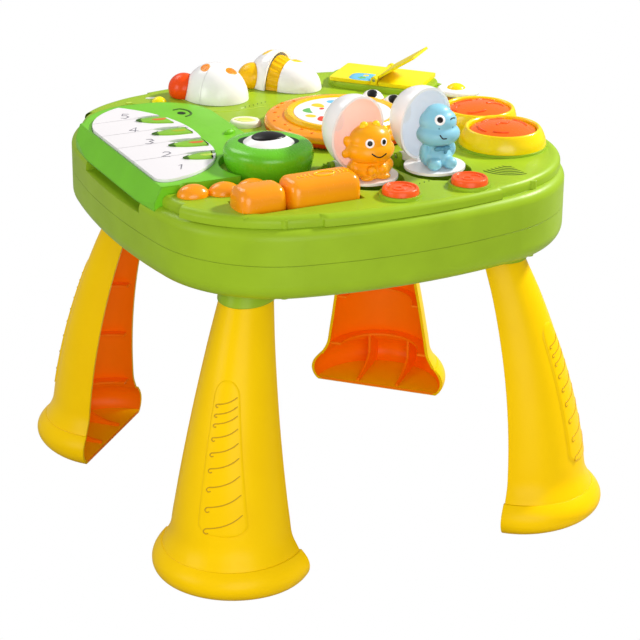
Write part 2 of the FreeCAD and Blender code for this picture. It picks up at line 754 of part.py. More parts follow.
def make_turntable():
    d = DECK_HEIGHT
    body = table_lathe([(SPINDLE_RADIUS + PIN_GAP, d), (TABLE_RADIUS - 2, d), (TABLE_RADIUS, d + 3),
                        (TABLE_RADIUS - 1.5, TABLE_TOP - 4), (TABLE_RADIUS - 8, TABLE_TOP - 0.5),
                        (RING_RADIUS + 3, TABLE_TOP), (RING_RADIUS + RUN_GAP, TABLE_TOP),
                        (RING_RADIUS + RUN_GAP, TABLE_TOP - 5), (SPINDLE_RADIUS + PIN_GAP, TABLE_TOP - 5)])
    save("turntable_body", body)
    low = TABLE_TOP - 5 + SEAT_GAP
    ring = table_lathe([(DISC_RADIUS + 0.2, low + 2), (DISC_RADIUS + 0.2, RING_TOP - 1.5), (DISC_RADIUS + 3, RING_TOP),
                        (RING_RADIUS - 2.5, RING_TOP), (RING_RADIUS, RING_TOP - 2.5), (RING_RADIUS, low),
                        (SPINDLE_RADIUS, low), (SPINDLE_RADIUS, d - DECK_WALL - 6), (0, d - DECK_WALL - 6),
                        (0, low + 2)])
    clip = table_lathe([(0, d - DECK_WALL - 2 - SEAT_GAP), (SPINDLE_RADIUS + 2, d - DECK_WALL - 2 - SEAT_GAP),
                        (SPINDLE_RADIUS + 2, d - DECK_WALL - SEAT_GAP), (0, d - DECK_WALL - SEAT_GAP)])
    save("turntable_ring", ring.fuse(clip).removeSplitter())
    disc = rod(TABLE_X, TABLE_Y, low + 2, RING_TOP - 1.0, DISC_RADIUS)
    save("picture_disc", disc)
    bridge = table_lathe([(RING_RADIUS + 2, TABLE_TOP), (TABLE_RADIUS - 2.5, TABLE_TOP - 3),
                          (TABLE_RADIUS - 2.5, TABLE_TOP + 4), (RING_RADIUS + 8, TABLE_TOP + 8),
                          (RING_RADIUS + 2, TABLE_TOP + 7)])
    a0, a1 = EYE_BRIDGE_ANGLES
    wedge = Part.makeCylinder(TABLE_RADIUS + 5, 40, V(TABLE_X, TABLE_Y, TABLE_TOP - 10), Z_AXIS, a1 - a0)
    wedge = turned(wedge, a0, V(TABLE_X, TABLE_Y, 0))
    save("turntable_eyes", bridge.common(wedge).cut(body))
    return body


def egg_lid():
    outer = ellipsoid(SHELL_HALF_WIDTH, SHELL_DEPTH, SHELL_HALF_HEIGHT)
    inner = ellipsoid(SHELL_HALF_WIDTH - SHELL_WALL, SHELL_DEPTH - SHELL_WALL, SHELL_HALF_HEIGHT - SHELL_WALL)
    shell = outer.common(box(-60, 60, 0, 60, -60, 60)).cut(inner)
    shell = moved(shell, 0, -SHELL_AHEAD, SHELL_FOOT + SHELL_HALF_HEIGHT)
    shell = turned(shell, SHELL_LEAN, axis=X_AXIS)
    half = (SHELF_END - SHELF_START) / 2
    shelf = oval_rod(0, -SHELF_START - half, SHELF_TOP - SHELF_THICK, SHELF_TOP, SHELF_HALF_WIDTH, half)
    neck = box(-NECK_HALF_WIDTH, NECK_HALF_WIDTH, -SHELL_AHEAD - 3, 0, -3.0, SHELL_FOOT)
    barrel = Part.makeCylinder(4.0, 2 * NECK_HALF_WIDTH, V(-NECK_HALF_WIDTH, 0, 0), X_AXIS)
    bore = Part.makeCylinder(PIN_RADIUS + PIN_GAP, 40, V(-20, 0, 0), X_AXIS)
    return shell.fuse([shelf, neck, barrel]).cut(bore).removeSplitter()


def make_eggs():
    lid = egg_lid()
    reach = NECK_HALF_WIDTH + RUN_GAP + LUG_WIDTH
    pin = Part.makeCylinder(PIN_RADIUS, 2 * reach, V(-reach, 0, 0), X_AXIS)
    for index, side in enumerate(("left", "right")):
        save("egg_shell_" + side, egg_place(lid, index))
        save("egg_hinge_pin_" + side, egg_place(pin, index))


def make_figures():
    sitting = [(0, 0), (15, 0), (18.5, 4), (19.5, 10), (17.5, 16), (19, 19), (22.5, 24), (23, 30), (20.5, 38),
               (15, 44), (7, 48.5), (0, 50)]
    standing = [(0, 0), (14, 0), (17, 3), (16.5, 10), (13.5, 19), (14, 21), (19, 27), (20, 33), (18, 41),
                (14, 49), (8, 54), (0, 56)]
    for index, (side, profile) in enumerate((("left", sitting), ("right", standing))):
        body = moved(lathe(profile), 0, -FIGURE_AHEAD[index], SHELF_TOP + SEAT_GAP / 6)
        save("figure_" + side, egg_place(body, index))


def make_release_buttons():
    under = DECK_HEIGHT - DECK_WALL - SEAT_GAP
    top = DECK_HEIGHT + RELEASE_RISE
    for side, (x, y) in zip(("left", "right"), RELEASE_PLACES):
        cap = rod(x, y, DECK_HEIGHT - DECK_WALL - PRESS_TRAVEL, top, RELEASE_RADIUS)
        cap = round_edges(cap, top, 1.5)
        flange = rod(x, y, under - FLANGE_THICK, under, RELEASE_RADIUS + RELEASE_FLANGE)
        save("release_button_" + side, cap.fuse(flange).removeSplitter())


def make_drums():
    top = DECK_HEIGHT + DRUM_RISE
    cups = [cone(x, y, DECK_HEIGHT, top, low, high)
            for (x, y), low, high in zip(DRUMS, DRUM_BASE_RADII, DRUM_TOP_RADII)]
    body = cups[0].fuse(cups[1])
    for x, y in DRUMS:
        body = body.cut(rod(x, y, DECK_HEIGHT + 4, top + 1, PAD_RADIUS + RUN_GAP))
        body = body.cut(rod(x, y, DECK_HEIGHT - 1, DECK_HEIGHT + 5, 8.0 + FIT_GAP))
    body = body.common(tray_slab(DECK_INSET, DECK_HEIGHT, top))
    save("drum_cups", body.removeSplitter())
    low = DECK_HEIGHT + 4 + PRESS_TRAVEL + SEAT_GAP
    for name, (x, y) in zip(("front", "back"), DRUMS):
        pad = rod(x, y, low, top - 1, PAD_RADIUS)
        skin = dome(PAD_RADIUS, PAD_DOME, x, y, top - 1)
        stem = rod(x, y, DECK_HEIGHT + PRESS_TRAVEL + SEAT_GAP, low + 1, 8.0)
        guide = plunger(x, y, low, 5.0)
        save("drum_pad_" + name, pad.fuse([skin, stem, guide]).removeSplitter())


def make_fried_egg():
    base_top = DECK_HEIGHT + FRIED_BASE_RISE
    base = rod(FRIED_X, FRIED_Y, DECK_HEIGHT, base_top, FRIED_BASE_RADIUS)
    base = base.cut(rod(FRIED_X, FRIED_Y, DECK_HEIGHT - 1, base_top + 1, 6.0 + FIT_GAP))
    save("fried_egg_base", base)
    low = base_top + PRESS_TRAVEL + SEAT_GAP
    top = low + FRIED_THICK
    white = rod(FRIED_X, FRIED_Y, low, top, FRIED_RADIUS)
    white = round_edges(white, top, 2.5)
    stem = rod(FRIED_X, FRIED_Y, base_top - 3, low + 1, 6.0)
    guide = plunger(FRIED_X, FRIED_Y, low, 4.0)
    save("fried_egg_white", white.fuse([stem, guide]).removeSplitter())
    save("fried_egg_yolk", dome(YOLK_RADIUS, 4.0, FRIED_X - 2, FRIED_Y + 2, top))


def make_speaker():
    angle = math.radians(sum(GRILLE_ANGLES) / 2)
    x = GRILLE_X + 17 * math.cos(angle)
    y = GRILLE_Y + 17 * math.sin(angle)
    top = DECK_HEIGHT - DECK_WALL
    frame = rod(x, y, top - 3, top, SPEAKER_RADIUS)
    basket = cone(x, y, top - SPEAKER_DEEP, top - 3, 9.0, SPEAKER_RADIUS - 2)
    magnet = rod(x, y, top - SPEAKER_DEEP - 6, top - SPEAKER_DEEP, 11.0)
    save("speaker", frame.fuse([basket, magnet]).removeSplitter())


def grille_slots():
    slots = []
    a0, a1 = GRILLE_ANGLES
    for index in range(1, GRILLE_SLOTS + 1):
        radius = index * GRILLE_STEP + 3
        ring = rod(GRILLE_X, GRILLE_Y, DECK_HEIGHT - DECK_WALL - 1, DECK_HEIGHT + 1, radius)
        ring = ring.cut(rod(GRILLE_X, GRILLE_Y, DECK_HEIGHT - DECK_WALL - 2, DECK_HEIGHT + 2, radius - GRILLE_SLOT))
        wedge = Part.makeCylinder(60, 10, V(GRILLE_X, GRILLE_Y, DECK_HEIGHT - 7), Z_AXIS, a1 - a0)
        slots.append(ring.common(turned(wedge, a0, V(GRILLE_X, GRILLE_Y, 0))))
    return slots


# Book: drawn along X with its hinge along Y, then turned and placed
def book_place(shape):
    return moved(turned(shape, BOOK_TURN - 90.0), BOOK_X, BOOK_Y)


def make_book():
    base_top = DECK_HEIGHT + BOOK_BASE_RISE
    wire = rounded_box_wire(-BOOK_HALF_LENGTH, BOOK_HALF_LENGTH, -BOOK_HALF_WIDTH, BOOK_HALF_WIDTH, 28.0)
    base = round_edges(prism(wire, DECK_HEIGHT, base_top), base_top, 2.0)
    save("book_base", book_place(base))
    half = PAGE_LENGTH / 2
    cover_top = base_top + COVER_THICK
    hinge_z = cover_top + PAGE_THICK / 2 + SEAT_GAP
    covers = [prism(rounded_box_wire(x, x + PAGE_WIDTH, -half, half, 3.0), base_top, cover_top)
              for x in (-PAGE_WIDTH - 4, 4)]
    spine = box(-4.5, 4.5, -half, half, base_top, base_top + 1.2)
    ears = []
    for y in (-half, half - 5):
        ears.append(box(-3.5, 3.5, y, y + 5, base_top, hinge_z))
        ears.append(Part.makeCylinder(3.5, 5, V(0, y, hinge_z), Y_AXIS))
    book = covers[0].fuse([covers[1], spine] + ears)
    book = book.cut(Part.makeCylinder(BOOK_PIN_RADIUS, 2 * half + 2, V(0, -half - 1, hinge_z), Y_AXIS))
    save("book_cover", book_place(book.removeSplitter()))
    pin = Part.makeCylinder(BOOK_PIN_RADIUS, 2 * half, V(0, -half, hinge_z), Y_AXIS)
    save("book_hinge_pin", book_place(pin))
    leaf_half = half - 5 - RUN_GAP
    barrel = Part.makeCylinder(2.9, 2 * leaf_half, V(0, -leaf_half, hinge_z), Y_AXIS)
    low = hinge_z - PAGE_THICK / 2
    page = prism(rounded_box_wire(2.0, PAGE_WIDTH + 4, -leaf_half, leaf_half, 2.5), low, low + PAGE_THICK)
    page = page.fuse(barrel)
    page = page.cut(Part.makeCylinder(BOOK_PIN_RADIUS + PIN_GAP, 2 * half, V(0, -half, hinge_z), Y_AXIS))
    page = turned(page.removeSplitter(), -PAGE_TILT, V(0, 0, hinge_z), Y_AXIS)
    save("book_page", book_place(page))


def above_deck(shape):
    return shape.common(box(-90, 90, -90, 90, SEAT_GAP, 90))


def egg_half(half_width, height, front):
    outer = ellipsoid(half_width, SLIDE_HALF_LENGTH, height)
    inner = ellipsoid(half_width - SLIDE_WALL, SLIDE_HALF_LENGTH - SLIDE_WALL, height - SLIDE_WALL)
    low, high = (-60, -SLIDE_SEAM / 2) if front else (SLIDE_SEAM / 2, 60)
    return above_deck(outer.cut(inner)).common(box(-60, 60, low, high, 0, 60))


def egg_core():
    """Tapered plug: narrower towards the cap that carries it."""
    wide = section_wire(0.0, 0.0, *CORE_BACK)
    slim = section_wire(CORE_LENGTH, 0.0, *CORE_FRONT)
    plug = above_deck(turned(loft([wide, slim]), 90.0, axis=X_AXIS))
    rail = box(-7, 7, -SLIDE_HALF_LENGTH + 6, -1, SEAT_GAP, 5)
    return plug.fuse(rail).removeSplitter()


def make_slide_eggs():
    for index, name in enumerate(("left", "right")):
        x, y = SLIDE_EGGS[index]
        ahead = -SLIDE_OPEN[index]
        wide, tall = SLIDE_CAPS[index]
        place = lambda shape: moved(turned(shape, SLIDE_TURN), x, y, DECK_HEIGHT)
        back = egg_half(SLIDE_HALF_WIDTH, SLIDE_HEIGHT, False)
        cap = moved(egg_half(wide, tall, True), 0, ahead)
        core = moved(egg_core(), 0, ahead + CORE_LENGTH - 1.0)
        save("slide_egg_%s_back" % name, place(back))
        save("slide_egg_%s_cap" % name, place(cap))
        save("slide_egg_%s_core" % name, place(core))
        bx, by = BALLS[index]
        ball = above_deck(moved(Part.makeSphere(BALL_RADIUS), 0, 0, BALL_LIFT))
        keep_out = ellipsoid(SLIDE_HALF_WIDTH + FIT_GAP, SLIDE_HALF_LENGTH + FIT_GAP, SLIDE_HEIGHT + FIT_GAP)
        save("slide_egg_%s_ball" % name, moved(ball, bx, by, DECK_HEIGHT).cut(place(keep_out)))


def make_controls():
    x, y = LENS_PLACE
    cap = dome(LENS_RADIUS, 5.0, x, y, DECK_HEIGHT)
    foot = rod(x, y, DECK_HEIGHT - DECK_WALL, DECK_HEIGHT, LENS_RADIUS - 1)
    save("light_lens", cap.fuse(foot).removeSplitter())
    x, y = SWITCH_PLACE
    knob = box(x - 3, x + 3, y - 2, y + 2, DECK_HEIGHT - DECK_WALL - 2, DECK_HEIGHT + 3)
    shoe = box(x - 6, x + 6, y - 4, y + 4, DECK_HEIGHT - DECK_WALL - 2, DECK_HEIGHT - DECK_WALL - SEAT_GAP)
    save("mode_switch", knob.fuse(shoe).removeSplitter())


def make_upper_case():
    outer = round_edges(tray_slab(0.0, SEAM_HEIGHT, SHOULDER_HEIGHT), SHOULDER_HEIGHT, SHOULDER_ROUND)
    deck = round_edges(tray_slab(DECK_INSET, SEAM_HEIGHT, DECK_HEIGHT), DECK_HEIGHT, LIP_ROUND)
    solid = outer.fuse(deck)
    cavity = tray_slab(WALL, SEAM_HEIGHT - 1, SHOULDER_HEIGHT - SHOULDER_ROUND - 2)
    cavity = cavity.fuse(tray_slab(DECK_INSET + WALL, SEAM_HEIGHT, DECK_HEIGHT - DECK_WALL))
    case = solid.cut(cavity)
    grip = solid.common(box(-230, HEAD_DROP_X + 4, HEAD_FRONT_Y - 4, 116, SLOT_LOW - WALL, DECK_HEIGHT))
    additions = [grip]
    floor = EGG_HINGE_Z - WELL_DEPTH
    for index in range(2):
        additions.append(well_prism(index, WELL_WALL, floor - WELL_WALL, DECK_HEIGHT - 1))
    under = DECK_HEIGHT - DECK_WALL
    for x, y in BOSS_PLACES:
        additions.append(rod(x, y, SEAM_HEIGHT + SEAT_GAP, under + 1, BOSS_RADIUS))
    for x, y in RELEASE_PLACES:
        additions.append(rod(x, y, DECK_HEIGHT - 2, DECK_HEIGHT + RELEASE_COLLAR_RISE,
                             RELEASE_RADIUS + RELEASE_COLLAR_WALL))
    inside = tray_slab(DECK_INSET, SEAM_HEIGHT, DECK_HEIGHT + 20)
    for (x, y), radius in zip(DRUMS, DRUM_BASE_RADII):
        collar = rod(x, y, DECK_HEIGHT - 3, DECK_HEIGHT + 2, radius + DRUM_COLLAR)
        additions.append(collar.common(inside))
    room, x0, x1 = roller_room()
    trough = box(x0 - WALL, x1 + WALL, ROLLER_Y - ROLLER_RADIUS - 3, ROLLER_Y + ROLLER_RADIUS + 3,
                 ROLLER_Z - ROLLER_RADIUS - 4, DECK_HEIGHT - 1)
    additions.append(trough)
    case = case.fuse(additions)
    case = cut_upper_case(case, room, x0, x1)
    lugs = [hinge_lug(index, side) for index in range(2) for side in (-1, 1)]
    case = case.fuse(lugs).removeSplitter()
    save("upper_case", max(case.Solids, key=lambda s: s.Volume))


def cut_upper_case(case, room, x0, x1):
    cuts = [well_prism(index, 0.0, EGG_HINGE_Z - WELL_DEPTH, DECK_HEIGHT + 6) for index in range(2)]
    cuts.append(room)
    cuts.append(Part.makeCylinder(AXLE_RADIUS, x1 - x0 + 4, V(x0 - 2, ROLLER_Y, ROLLER_Z), X_AXIS))
    low = DECK_HEIGHT - DECK_WALL - 1
    high = DECK_HEIGHT + 6
    head = prism(head_outline(), HEAD_LOW, high).common(box(-230, HEAD_DROP_X, -300, 300, HEAD_LOW, high))
    cuts.append(head)
    cuts.append(box(-230, SLOT_DEEP_X, SLOT_Y[0], SLOT_Y[1], SLOT_LOW, HEAD_LOW + 1))
    for index in range(len(TOE_X)):
        cuts.append(toe_prism(index, RUN_GAP / 2, low, high))
    cuts.append(rod(KNOB_X, KNOB_Y, low, high, KNOB_STEM_RADIUS + PIN_GAP))
    cuts.append(rod(TABLE_X, TABLE_Y, low, high, SPINDLE_RADIUS + 1.0))
    x, y = LEAF_BUTTON
    cuts.append(oval_rod(x, y, low, high, LEAF_BUTTON_HALF[0] + RUN_GAP / 2, LEAF_BUTTON_HALF[1] + RUN_GAP / 2))
    for x, y in RELEASE_PLACES:
        cuts.append(rod(x, y, low, high, RELEASE_RADIUS + RUN_GAP / 2))
    for (x, y), radius in zip(DRUMS, DRUM_BASE_RADII):
        cuts.append(rod(x, y, DECK_HEIGHT, high, radius + SEAT_GAP))
        cuts.append(rod(x, y, low, high, 5.0 + RUN_GAP / 2))
    cuts.append(rod(FRIED_X, FRIED_Y, low, high, 4.0 + RUN_GAP / 2))
    x, y = LENS_PLACE
    cuts.append(rod(x, y, low, high, LENS_RADIUS - 1))
    x, y = SWITCH_PLACE
    cuts.append(box(x - 3 - SWITCH_TRAVEL - 0.3, x + 3 + SWITCH_TRAVEL + 0.3, y - 2.3, y + 2.3, low, high))
    cuts += grille_slots()
    for x, y in BOSS_PLACES:
        cuts.append(rod(x, y, SEAM_HEIGHT - 1, SEAM_HEIGHT + 20, SCREW_RADIUS))
    for piece in cuts:
        case = case.cut(piece)
    return case


def make_lower_case():
    solid = round_edges(tray_slab(0.0, TRAY_BOTTOM, SEAM_HEIGHT - 0.2), TRAY_BOTTOM, BOTTOM_ROUND)
    hollow = round_edges(tray_slab(WALL, TRAY_BOTTOM + WALL, SEAM_HEIGHT + 1), TRAY_BOTTOM + WALL,
                         BOTTOM_ROUND - WALL)
    case = solid.cut(hollow)
    top = shank_section(SHANK_TOP)
    socket_top = TRAY_BOTTOM - COLLAR_DROP + SOCKET_DEPTH
    cup = prism(section_wire(0, top[0] - COLLAR_WALL, top[1] + COLLAR_WALL, top[2] + 2 * COLLAR_WALL),
                TRAY_BOTTOM - COLLAR_DROP, socket_top + COLLAR_WALL)
    room = prism(section_wire(0, top[0] - FIT_GAP, top[1] + FIT_GAP, top[2] + 2 * FIT_GAP),
                 TRAY_BOTTOM - COLLAR_DROP - 1, socket_top + FIT_GAP)
    case = case.fuse([turned(cup, degrees) for degrees in LEG_TURNS.values()])
    for degrees in LEG_TURNS.values():
        case = case.cut(turned(room, degrees))
    bosses = [rod(x, y, TRAY_BOTTOM + 1, SEAM_HEIGHT, BOSS_RADIUS) for x, y in BOSS_PLACES]
    bx, by = BATTERY_PLACE
    wide, deep, tall = BATTERY_BOX
    tub = box(bx - wide / 2 - 2, bx + wide / 2 + 2, by - deep / 2 - 2, by + deep / 2 + 2,
              TRAY_BOTTOM, TRAY_BOTTOM + tall + 2)
    board_posts = []
    for sx in (-1, 1):
        for sy in (-1, 1):
            board_posts.append(rod(TABLE_X + 12 + sx * 40, TABLE_Y + 20 + sy * 22, TRAY_BOTTOM + 1, BOARD_HEIGHT, 3.0))
    case = case.fuse(bosses + [tub] + board_posts)
    case = case.cut(box(bx - wide / 2, bx + wide / 2, by - deep / 2, by + deep / 2, TRAY_BOTTOM - 1, TRAY_BOTTOM + tall))
    case = case.cut(box(bx - wide / 2 - 4, bx + wide / 2 + 4, by - deep / 2 - 4, by + deep / 2 + 4,
                        TRAY_BOTTOM - 1, TRAY_BOTTOM + 1.6))
    for x, y in BOSS_PLACES:
        case = case.cut(rod(x, y, TRAY_BOTTOM - 1, SEAM_HEIGHT + 1, SCREW_RADIUS + 0.3))
        case = case.cut(rod(x, y, TRAY_BOTTOM - 1, TRAY_BOTTOM + 6, 3.2))
    save("lower_case", max(case.removeSplitter().Solids, key=lambda s: s.Volume))


def make_inside():
    screws = []
    for x, y in BOSS_PLACES:
        head = rod(x, y, TRAY_BOTTOM + 3.8, TRAY_BOTTOM + 6, 2.9)
        screws.append(head.fuse(rod(x, y, TRAY_BOTTOM + 5, SEAM_HEIGHT + 18, SCREW_RADIUS)).removeSplitter())
    save("case_screws", Part.makeCompound(screws))
    bx, by = BATTERY_PLACE
    wide, deep, tall = BATTERY_BOX
    plate = box(bx - wide / 2 - 4 + 0.2, bx + wide / 2 + 4 - 0.2, by - deep / 2 - 4 + 0.2, by + deep / 2 + 4 - 0.2,
                TRAY_BOTTOM, TRAY_BOTTOM + 1.6)
    save("battery_cover", plate)
    cells = []
    for k in (-1, 0, 1):
        y = by + k * (2 * BATTERY_RADIUS + 1.5)
        cells.append(Part.makeCylinder(BATTERY_RADIUS, BATTERY_LENGTH,
                                       V(bx - BATTERY_LENGTH / 2, y, TRAY_BOTTOM + 2.0 + BATTERY_RADIUS), X_AXIS))
    save("batteries", Part.makeCompound(cells))
    contacts = []
    for side in (-1, 1):
        x = bx + side * (BATTERY_LENGTH / 2 + 3.2)
        contacts.append(box(x - 2.9, x + 2.9, by - deep / 2 + 4, by + deep / 2 - 4, TRAY_BOTTOM + 3, TRAY_BOTTOM + 16))
    save("battery_contacts", Part.makeCompound(contacts))
    long, wide, thick = BOARD
    x, y = TABLE_X + 12, TABLE_Y + 20
    board = box(x - long / 2, x + long / 2, y - wide / 2, y + wide / 2, BOARD_HEIGHT, BOARD_HEIGHT + thick)
    chip = box(x - 8, x + 8, y - 8, y + 8, BOARD_HEIGHT + thick, BOARD_HEIGHT + thick + 2)
    save("circuit_board", board.fuse(chip).removeSplitter())


def main():
    os.makedirs(PARTS, exist_ok=True)
    make_lower_case()
    make_upper_case()
    make_keyboard()
    make_keys()
    make_toe_buttons()
    make_eye_knob()
    make_leaf_button()
    make_rollers()
    make_turntable()
    make_eggs()
    make_figures()
    make_release_buttons()
    make_drums()
    make_fried_egg()
    make_speaker()
    make_book()
    make_slide_eggs()
    make_controls()
    make_inside()
    for name, leg in leg_places(leg_solid()).items():
        save(name, leg)


main()
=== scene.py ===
import bpy
import bmesh
import math
import random
import numpy as np
from mathutils import Matrix, Vector
from mathutils.bvhtree import BVHTree


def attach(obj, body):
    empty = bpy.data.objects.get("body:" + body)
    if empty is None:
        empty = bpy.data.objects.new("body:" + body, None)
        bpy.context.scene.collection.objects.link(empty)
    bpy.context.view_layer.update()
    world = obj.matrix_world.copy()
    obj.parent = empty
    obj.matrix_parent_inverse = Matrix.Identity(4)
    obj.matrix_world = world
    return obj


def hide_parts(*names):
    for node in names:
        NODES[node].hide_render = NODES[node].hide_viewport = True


# Looks for the activity table. Lengths in the helpers are millimetres; meshes are made in metres.
MM = 0.001
DECK = 350.0
UP = (0, 0, 1)
NORTH = (0, 1, 0)
random.seed(7)
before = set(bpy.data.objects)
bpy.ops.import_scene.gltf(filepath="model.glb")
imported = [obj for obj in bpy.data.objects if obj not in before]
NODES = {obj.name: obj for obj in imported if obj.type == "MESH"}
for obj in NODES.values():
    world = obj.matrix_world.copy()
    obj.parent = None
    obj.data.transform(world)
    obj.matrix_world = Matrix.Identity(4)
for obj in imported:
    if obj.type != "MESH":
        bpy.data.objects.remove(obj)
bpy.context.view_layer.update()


# Materials
def linear(rgb):
    return tuple(c / 12.92 if c <= 0.04045 else ((c + 0.055) / 1.055) ** 2.4 for c in rgb)


def plastic(name, rgb, rough=0.3, vary=0.05, bump=0.02, wear=0.12, glow=0.0, bevel=0.7, metal=0.0, sss=0.0,
            shine=0.3):
    """Moulded plastic: slight mottling, fine orange-peel, scuffs that dull the gloss, soft edges; glow adds
    painted light, a faint self-glow in the base colour.
    """
    m = bpy.data.materials.new(name)
    m.use_nodes = True
    nt = m.node_tree
    n, l = nt.nodes, nt.links
    bsdf = n["Principled BSDF"]
    tc = n.new("ShaderNodeTexCoord")
    broad = n.new("ShaderNodeTexNoise")
    broad.inputs["Scale"].default_value = 28.0
    broad.inputs["Detail"].default_value = 3.0
    l.new(tc.outputs["Object"], broad.inputs["Vector"])
    base = linear(rgb)
    ramp = n.new("ShaderNodeValToRGB")
    ramp.color_ramp.elements[0].position = 0.3
    ramp.color_ramp.elements[1].position = 0.7
    ramp.color_ramp.elements[0].color = (*[c * (1 - vary) for c in base], 1)
    ramp.color_ramp.elements[1].color = (*[min(1.0, c * (1 + vary)) for c in base], 1)
    l.new(broad.outputs["Fac"], ramp.inputs["Fac"])
    l.new(ramp.outputs["Color"], bsdf.inputs["Base Color"])
    scuff = n.new("ShaderNodeTexNoise")
    scuff.inputs["Scale"].default_value = 210.0
    scuff.inputs["Detail"].default_value = 6.0
    scuff.inputs["Roughness"].default_value = 0.7
    stretch = n.new("ShaderNodeMapping")
    stretch.inputs["Scale"].default_value = (1.0, 0.35, 1.0)
    stretch.inputs["Rotation"].default_value = (0.3, 0.2, 0.7)
    l.new(tc.outputs["Object"], stretch.inputs["Vector"])
    l.new(stretch.outputs["Vector"], scuff.inputs["Vector"])
    spread = n.new("ShaderNodeMapRange")
    spread.inputs["From Min"].default_value = 0.52
    spread.inputs["From Max"].default_value = 0.75
    spread.inputs["To Min"].default_value = rough
    spread.inputs["To Max"].default_value = rough + wear
    l.new(scuff.outputs["Fac"], spread.inputs["Value"])
    l.new(spread.outputs["Result"], bsdf.inputs["Roughness"])
    fine = n.new("ShaderNodeTexNoise")
    fine.inputs["Scale"].default_value = 900.0
    l.new(tc.outputs["Object"], fine.inputs["Vector"])
    peel = n.new("ShaderNodeBump")
    peel.inputs["Strength"].default_value = bump
    peel.inputs["Distance"].default_value = 0.001
    l.new(fine.outputs["Fac"], peel.inputs["Height"])
    if bevel:
        soft = n.new("ShaderNodeBevel")
        soft.samples = 3
        soft.inputs["Radius"].default_value = bevel * MM
        l.new(soft.outputs["Normal"], peel.inputs["Normal"])
    l.new(peel.outputs["Normal"], bsdf.inputs["Normal"])
    bsdf.inputs["Specular IOR Level"].default_value = shine
    bsdf.inputs["Metallic"].default_value = metal
    if sss:
        bsdf.inputs["Subsurface Weight"].default_value = sss
        bsdf.inputs["Subsurface Radius"].default_value = (0.004, 0.003, 0.002)
        bsdf.inputs["Subsurface Scale"].default_value = 1.0
    if glow:
        bsdf.inputs["Emission Color"].default_value = (*base, 1)
        bsdf.inputs["Emission Strength"].default_value = glow
    return m


GREEN = plastic("tray_green", (0.60, 0.73, 0.13), rough=0.38, bevel=1.0, shine=0.22)
BRIGHT = plastic("head_green", (0.46, 0.78, 0.12), rough=0.32, bevel=2.2)
KNOB = plastic("knob_green", (0.40, 0.76, 0.10), rough=0.26, shine=0.5)
LIME = plastic("relief_green", (0.74, 0.84, 0.28), rough=0.35)
SHADE = plastic("groove_green", (0.22, 0.38, 0.06), rough=0.5, bevel=0)
YELLOW = plastic("leg_yellow", (1.0, 0.81, 0.0), rough=0.32, vary=0.02, shine=0.10)
# White plastic with a faint painted glow that lightens its shaded faces
WHITE = plastic("shell_white", (0.965, 0.95, 0.945), rough=0.2, vary=0.01, shine=0.5, glow=0.05)
KEYS = plastic("key_white", (0.93, 0.915, 0.925), rough=0.30, vary=0.01)
# Egg shell insides: pink and grey, each with a painted glow that lifts the shade inside the bowls
PINK = plastic("shell_pink_painted_glow", (1.0, 0.90, 0.86), rough=0.35, vary=0.02, bevel=0, glow=0.16)
GREY = plastic("shell_grey_painted_glow", (0.93, 0.93, 0.95), rough=0.35, vary=0.02, bevel=0, glow=0.14)
ORANGE = plastic("orange", (1.0, 0.60, 0.02), rough=0.22, shine=0.5)
DEEP = plastic("deep_orange", (0.97, 0.40, 0.07), rough=0.26)
RED = plastic("red_orange", (0.97, 0.36, 0.12), rough=0.28)
BALL_RED = plastic("ball_red", (0.98, 0.30, 0.04), rough=0.25)
DRUM = plastic("drum_yellow", (0.99, 0.84, 0.0), rough=0.22, shine=0.4)
GOLD = plastic("gold", (1.0, 0.76, 0.0), rough=0.25)
LEAF = plastic("leaf_green", (0.52, 0.74, 0.18), rough=0.35)
TIP = plastic("leaf_tip", (0.08, 0.20, 0.04), rough=0.5, bevel=0)
FIG_O = plastic("figure_orange", (1.0, 0.66, 0.03), rough=0.30, bevel=0, sss=0.1)
FIG_Y = plastic("figure_crown", (1.0, 0.82, 0.06), rough=0.33, bevel=0)
FIG_B = plastic("figure_blue", (0.55, 0.79, 0.87), rough=0.36, bevel=0, sss=0.1)
BLUE_D = plastic("figure_bow", (0.36, 0.60, 0.70), rough=0.4, bevel=0)
BLACK = plastic("pupil_black", (0.05, 0.035, 0.03), rough=0.35, vary=0.0, bevel=0)
MARK = plastic("mark_grey", (0.50, 0.49, 0.53), rough=0.5, bevel=0)
PAGE = plastic("page_yellow", (0.98, 0.88, 0.04), rough=0.33)
SKY = plastic("print_blue", (0.42, 0.74, 0.88), rough=0.4, bevel=0)
LENS = plastic("lens_yellow", (0.99, 0.90, 0.05), rough=0.15, glow=0.05)
DARK = plastic("dark", (0.15, 0.15, 0.16), rough=0.5)
STEEL = plastic("steel", (0.72, 0.72, 0.73), rough=0.3, metal=1.0)
CELL = plastic("cell", (0.30, 0.50, 0.32), rough=0.35)
BOARD = plastic("board", (0.12, 0.36, 0.20), rough=0.5)
# Darker red for the turntable bun's lower band: painted shade on its side
BUN_SIDE_SHADE = plastic("bun_side_painted_shade", (0.93, 0.22, 0.03), rough=0.28)


# Meshes
def make(name, verts, faces, mat, body, replaces=(), angle=40.0):
    """Smooth-shaded piece that rides on a body; edges sharper than the angle stay sharp."""
    me = bpy.data.meshes.new(name)
    me.from_pydata([tuple(float(c) * MM for c in v) for v in verts], [],
                   [tuple(int(i) for i in f) for f in faces])
    bm = bmesh.new()
    bm.from_mesh(me)
    bmesh.ops.remove_doubles(bm, verts=bm.verts, dist=1e-6)
    bmesh.ops.recalc_face_normals(bm, faces=bm.faces)
    bm.to_mesh(me)
    bm.free()
    for p in me.polygons:
        p.use_smooth = True
    me.set_sharp_from_angle(angle=math.radians(angle))
    ob = bpy.data.objects.new(name, me)
    bpy.context.scene.collection.objects.link(ob)
    me.materials.append(mat)
    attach(ob, body)
    if replaces:
        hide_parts(*replaces)


